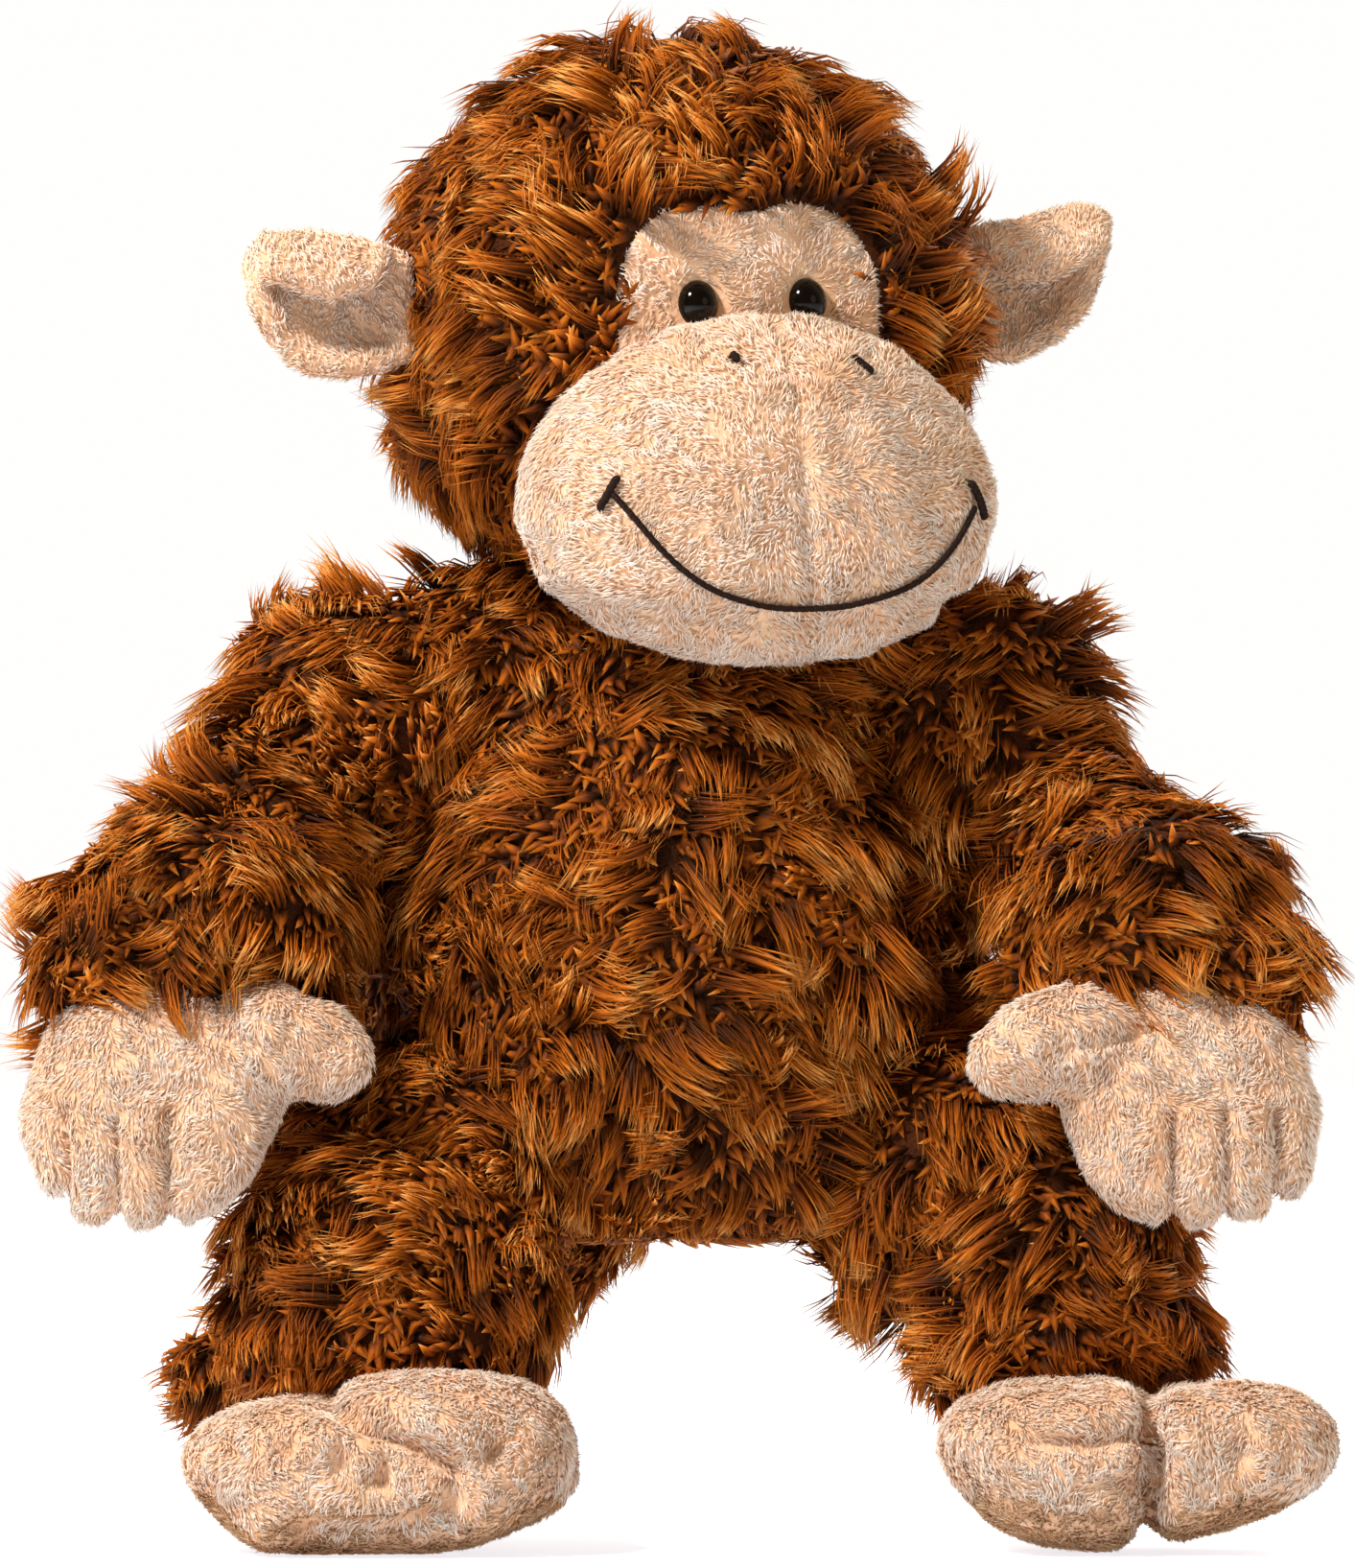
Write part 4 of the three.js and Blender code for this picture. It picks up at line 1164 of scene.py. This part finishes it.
def in_outline(x, y, outline):
    inside = np.zeros(len(x), bool)
    j = len(outline) - 1
    for i in range(len(outline)):
        xi, yi, xj, yj = *outline[i], *outline[j]
        crosses = ((yi > y) != (yj > y)) & (x < (xj - xi) * (y - yi) / (yj - yi + 1e-12) + xi)
        inside ^= crosses
        j = i
    return inside


def head_grows(points, normals):
    p = to_head(points)
    in_patch = in_outline(p[:, 0], p[:, 2], patch_loop * PATCH_SEAM)
    return ~((p[:, 1] < 0) & in_patch) & ~muzzle_surface.holds(points, 0.5)


def head_calm(points):
    """The pile lies straight away from the face beside it, and swirls further off."""
    p = to_head(points)
    off = np.hypot(p[:, 0] / 36, (p[:, 2] - 3) / 27) - 1
    return np.where(p[:, 1] < 0, np.clip(0.2 + off / 0.5, 0.2, 1), 1)


SAG = 0.35  # how far pile that lies along something hangs down as well
SEAT_PRESS = 0.25


def head_flow(points, normals):
    """Away from the face, then down behind."""
    p = to_head(points)
    away = unit(np.stack([p[:, 0], p[:, 1] * 0 + 12, p[:, 2] + 12], axis=1))
    away[:, 2] -= SAG
    away[:, 1] += np.clip(p[:, 1] / 60, 0, 1)
    return away @ HEAD.T


def down_and_out(points, normals):
    flow = np.repeat([[0, 0, -1.0]], len(points), axis=0)
    flow[:, 0] = 0.15 * np.sign(points[:, 0])
    return flow


def along_limb(a, b):
    way = unit(np.array(b, float) - np.array(a, float))

    def flow(points, normals):
        return np.repeat(way[None], len(points), axis=0) + [0, 0, -SAG]

    return flow


def above_seat(lines):
    """Pile under the body is pressed flat by what it sits on."""
    out = lines.copy()
    out[..., 2] = np.where(out[..., 2] < 0, out[..., 2] * SEAT_PRESS, out[..., 2])
    return out


def above_floor(lines):
    out = lines.copy()
    out[..., 2] = np.maximum(out[..., 2], FLOOR_Z + 0.4)
    return out


surfaces = {name: Surface(form) for name, form in forms.items()}


def outside_of(names, margin, extra=None):
    """Pile grows where a place isn't deep inside one of the neighbours."""

    def allow(points, normals):
        keep = np.ones(len(points), bool)
        for name in names:
            part = surfaces[name]
            low, high = part.points.min(axis=0), part.points.max(axis=0)
            near = np.all((points > low) & (points < high), axis=1) & keep
            found = np.flatnonzero(near)
            keep[found[part.holds(points[found], margin)]] = False
        if extra is not None:
            keep &= extra(points, normals)
        return keep

    return allow


piles = {}


def fur(name, seed, flow, length, neighbours, margin, extra=None, **options):
    allow = outside_of(neighbours, margin, extra)
    piles[name] = long_pile(f"{name}_fur", surfaces[name], flow, seed, length, allow, **options)


def nap(name, seed, flow, length, allow, on=None, material=NAP, shape=as_grown):
    piles[name] = short_pile(f"{name}_nap", surfaces[on or name], flow, seed, material, length, allow, shape)


fur("torso", 101, down_and_out, 20, ["head", "arm_right", "arm_left", "leg_right", "leg_left"], 6, shape=above_seat)
fur("head", 102, head_flow, 19, ["torso"], 4, head_grows, calm=head_calm)
for number, side in enumerate(SIDES):
    flow = along_limb(mirrored(SHOULDER, side), mirrored(WRIST, side))
    fur(f"arm_{side}", 110 + number, flow, 20, ["torso", f"hand_{side}"], 5)
    flow = along_limb(mirrored(HIP, side), ANKLE[side])
    fur(f"leg_{side}", 120 + number, flow, 19, ["torso", f"foot_{side}"], 5)
fur("tail", 130, along_limb(TAIL[0], TAIL[2]), 17, ["torso"], 3, shape=above_floor)


def from_middle(points, normals):
    p = to_head(points) - MUZZLE_MIDDLE
    flow = np.stack([p[:, 0] * 0.8, p[:, 1] * 0, p[:, 2] - 8], axis=1)
    return flow @ HEAD.T


def muzzle_grows(points, normals):
    return to_head(points)[:, 1] < MUZZLE_BACK


def from_eyes(points, normals):
    p = to_head(points)
    flow = np.stack([p[:, 0] - np.sign(p[:, 0]) * EYE_ACROSS, p[:, 1] * 0, p[:, 2] - EYE_UP + 2], axis=1)
    return flow @ HEAD.T


def patch_grows(points, normals):
    p = to_head(points)
    clear = np.ones(len(points), bool)
    for s in (-1, 1):
        clear &= np.hypot(p[:, 0] - s * EYE_ACROSS, p[:, 2] - EYE_UP) > EYE_CLEAR
    return clear & (p[:, 1] < PATCH_BACK) & ((normals @ HEAD)[:, 1] < 0.3)


def up_the_ear(points, normals):
    flow = np.repeat([[0, 0, 1.0]], len(points), axis=0)
    flow[:, 0] = 0.5 * np.sign(to_head(points)[:, 0])
    return flow


def ear_grows(points, normals):
    return np.abs(to_head(points)[:, 0]) > EAR_ROOT


def under_foot(points, normals):
    return (normals[:, 2] < -0.5) & (points[:, 2] < FLOOR_Z + SOLE_RISE)


def over_foot(points, normals):
    return ~under_foot(points, normals)


nap("muzzle", 201, from_middle, 3.4, muzzle_grows)
nap("face_patch", 202, from_eyes, 2.8, patch_grows)
for number, side in enumerate(SIDES):
    wrist, ankle = mirrored(WRIST, side), ANKLE[side]
    nap(f"hand_{side}", 210 + number, along_limb(wrist, (wrist[0], -90, 5)), 3.6, outside_of([f"arm_{side}"], 2))
    flow = along_limb(ankle, (ankle[0], ankle[1] - 60, ankle[2] - 10))
    on_top = outside_of([f"leg_{side}"], 2, over_foot)
    nap(f"foot_{side}", 220 + number, flow, 3.6, on_top, shape=above_floor)
    below = {"on": f"foot_{side}", "material": SOLE_NAP, "shape": above_floor}
    nap(f"foot_{side}_sole", 230 + number, flow, 3.2, under_foot, **below)
    nap(f"ear_{side}", 240 + number, up_the_ear, 2.8, ear_grows)

# ---------------------------------------------------------------- riding and backing


def middle_of_bend(a, b, c, reach):
    """Where a bend from a over b to c starts and ends."""
    a, b, c = (np.array(p, float) for p in (a, b, c))
    way = unit(unit(b - a) + unit(c - b))
    return tuple((b - way * reach) * MM), tuple((b + way * reach) * MM)


def place_all(name, backing, slot, body=None, bend=None):
    """Backing of a form; the form and its pile ride a body, or with bend stay baked in place. slot is not used."""
    form = forms[name]
    finish_piece(form, backing)
    for o in [form, *piles[name]]:
        if bend is None:
            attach(o, body)
        else:
            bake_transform(o)


LONG = (FUR_CLOTH, "long_pile_plush")
SHORT = (NAP_CLOTH, "short_pile_plush")
place_all("torso", *LONG, body="torso")
place_all("head", *LONG, body="head")
place_all("muzzle", *SHORT, body="head")
place_all("face_patch", *SHORT, body="head")
for side in SIDES:
    elbow = middle_of_bend(*(mirrored(p, side) for p in (SHOULDER, ELBOW, WRIST)), 18)
    place_all(f"arm_{side}", *LONG, bend=(f"upper_arm_{side}", f"forearm_{side}", *elbow))
    knee = middle_of_bend(mirrored(HIP, side), KNEE[side], ANKLE[side], 20)
    place_all(f"leg_{side}", *LONG, bend=(f"thigh_{side}", f"shin_{side}", *knee))
    for name in (f"hand_{side}", f"foot_{side}", f"ear_{side}"):
        place_all(name, *SHORT, body=name)
    for o in piles[f"foot_{side}_sole"]:
        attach(o, f"foot_{side}")
    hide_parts(f"foot_{side}_sole")
    finish_piece(eyes[side], PLASTIC, "head")
    finish_piece(nostrils[side], THREAD, "head")
finish_piece(mouth, THREAD, "head")
place_all("tail", *LONG, bend=("tail_root", "tail_tip", *middle_of_bend(*TAIL, 12)))

# ---------------------------------------------------------------- floor, light and camera


def floor_finish():
    f = Finish("floor", Roughness=0.6, Emission_Color=(0.89, 0.92, 1.0, 1))
    ray = f.add("ShaderNodeLightPath")  # white where it is seen, dimmer as a light from below
    glow = f.maths("ADD", f.maths("MULTIPLY", ray.outputs["Is Camera Ray"], 0.36), 0.4)
    f.link(glow, f.shader.inputs["Emission Strength"])
    return f.coloured(f.cloud(3.0, 3.0), [(0.3, "#dce9fb"), (0.7, "#e4effe")])


bm = bmesh.new()
bmesh.ops.create_circle(bm, cap_ends=True, radius=6, segments=96)
floor = object_from(bm, "floor")
floor.location.z = FLOOR_Z * MM
floor.data.materials.append(floor_finish())

ROOM_LIGHT = 0.18
BACKDROP_LIGHT = 0.95
ROOM_COLOUR = (1.0, 0.82, 0.54, 1)  # warm as light, white as seen
SEEN_COLOUR = (1.0, 0.995, 0.985, 1)
scene = bpy.context.scene
world = bpy.data.worlds.new("studio")
world.use_nodes = True
nodes = world.node_tree.nodes
backdrop = nodes["Background"]
tint = nodes.new("ShaderNodeMix")
tint.data_type = "RGBA"
tint.inputs["A"].default_value = ROOM_COLOUR
tint.inputs["B"].default_value = SEEN_COLOUR
seen = nodes.new("ShaderNodeLightPath")
way = nodes.new("ShaderNodeTexCoord")
split = nodes.new("ShaderNodeSeparateXYZ")
room = nodes.new("ShaderNodeMapRange")  # a lit backdrop behind the toy, a dim room before it
for socket, value in (("From Min", -0.4), ("From Max", 0.7), ("To Min", ROOM_LIGHT), ("To Max", BACKDROP_LIGHT)):
    room.inputs[socket].default_value = value
level = nodes.new("ShaderNodeMix")  # white wherever the camera sees it
level.inputs["B"].default_value = 1.0
for a, b in (
    (way.outputs["Generated"], split.inputs[0]),
    (split.outputs["Y"], room.inputs["Value"]),
    (seen.outputs["Is Camera Ray"], level.inputs["Factor"]),
    (room.outputs["Result"], level.inputs["A"]),
    (level.outputs["Result"], backdrop.inputs["Strength"]),
    (seen.outputs["Is Camera Ray"], tint.inputs["Factor"]),
    (tint.outputs["Result"], backdrop.inputs["Color"]),
):
    world.node_tree.links.new(a, b)
scene.world = world
scene.view_settings.view_transform = "Standard"


def lamp(name, place, target, size, power, colour):
    data = bpy.data.lights.new(name, "AREA")
    data.shape = "DISK"
    data.size = size
    data.energy = power
    data.color = colour
    obj = linked(name, data)
    obj.location = place
    obj.rotation_euler = (Vector(target) - Vector(place)).to_track_quat("-Z", "Y").to_euler()


lamp("key", (-1.25, -1.25, 1.75), (0, 0, 0.12), 0.4, 76, (1.0, 0.975, 0.95))
lamp("fill", (1.4, -1.4, 0.7), (0, 0, 0.1), 1.0, 1.5, (1.0, 0.9, 0.7))
lamp("rim", (0.9, 1.3, 1.2), (0, 0, 0.15), 0.8, 12, (1.0, 0.97, 0.93))

VIEW_HEIGHT = 409  # millimetres seen from top to bottom, at the plane of the face
VIEW_FROM = 4000
SENSOR = 24
camera = linked("camera", bpy.data.cameras.new("camera"))
camera.data.sensor_fit = "VERTICAL"
camera.data.sensor_height = SENSOR
camera.data.lens = SENSOR * VIEW_FROM / VIEW_HEIGHT
camera.location = (1.6 * MM, -(VIEW_FROM + 50) * MM, 118 * MM)
camera.rotation_euler = (math.radians(90), 0, 0)
camera.data.clip_end = 100
scene.camera = camera
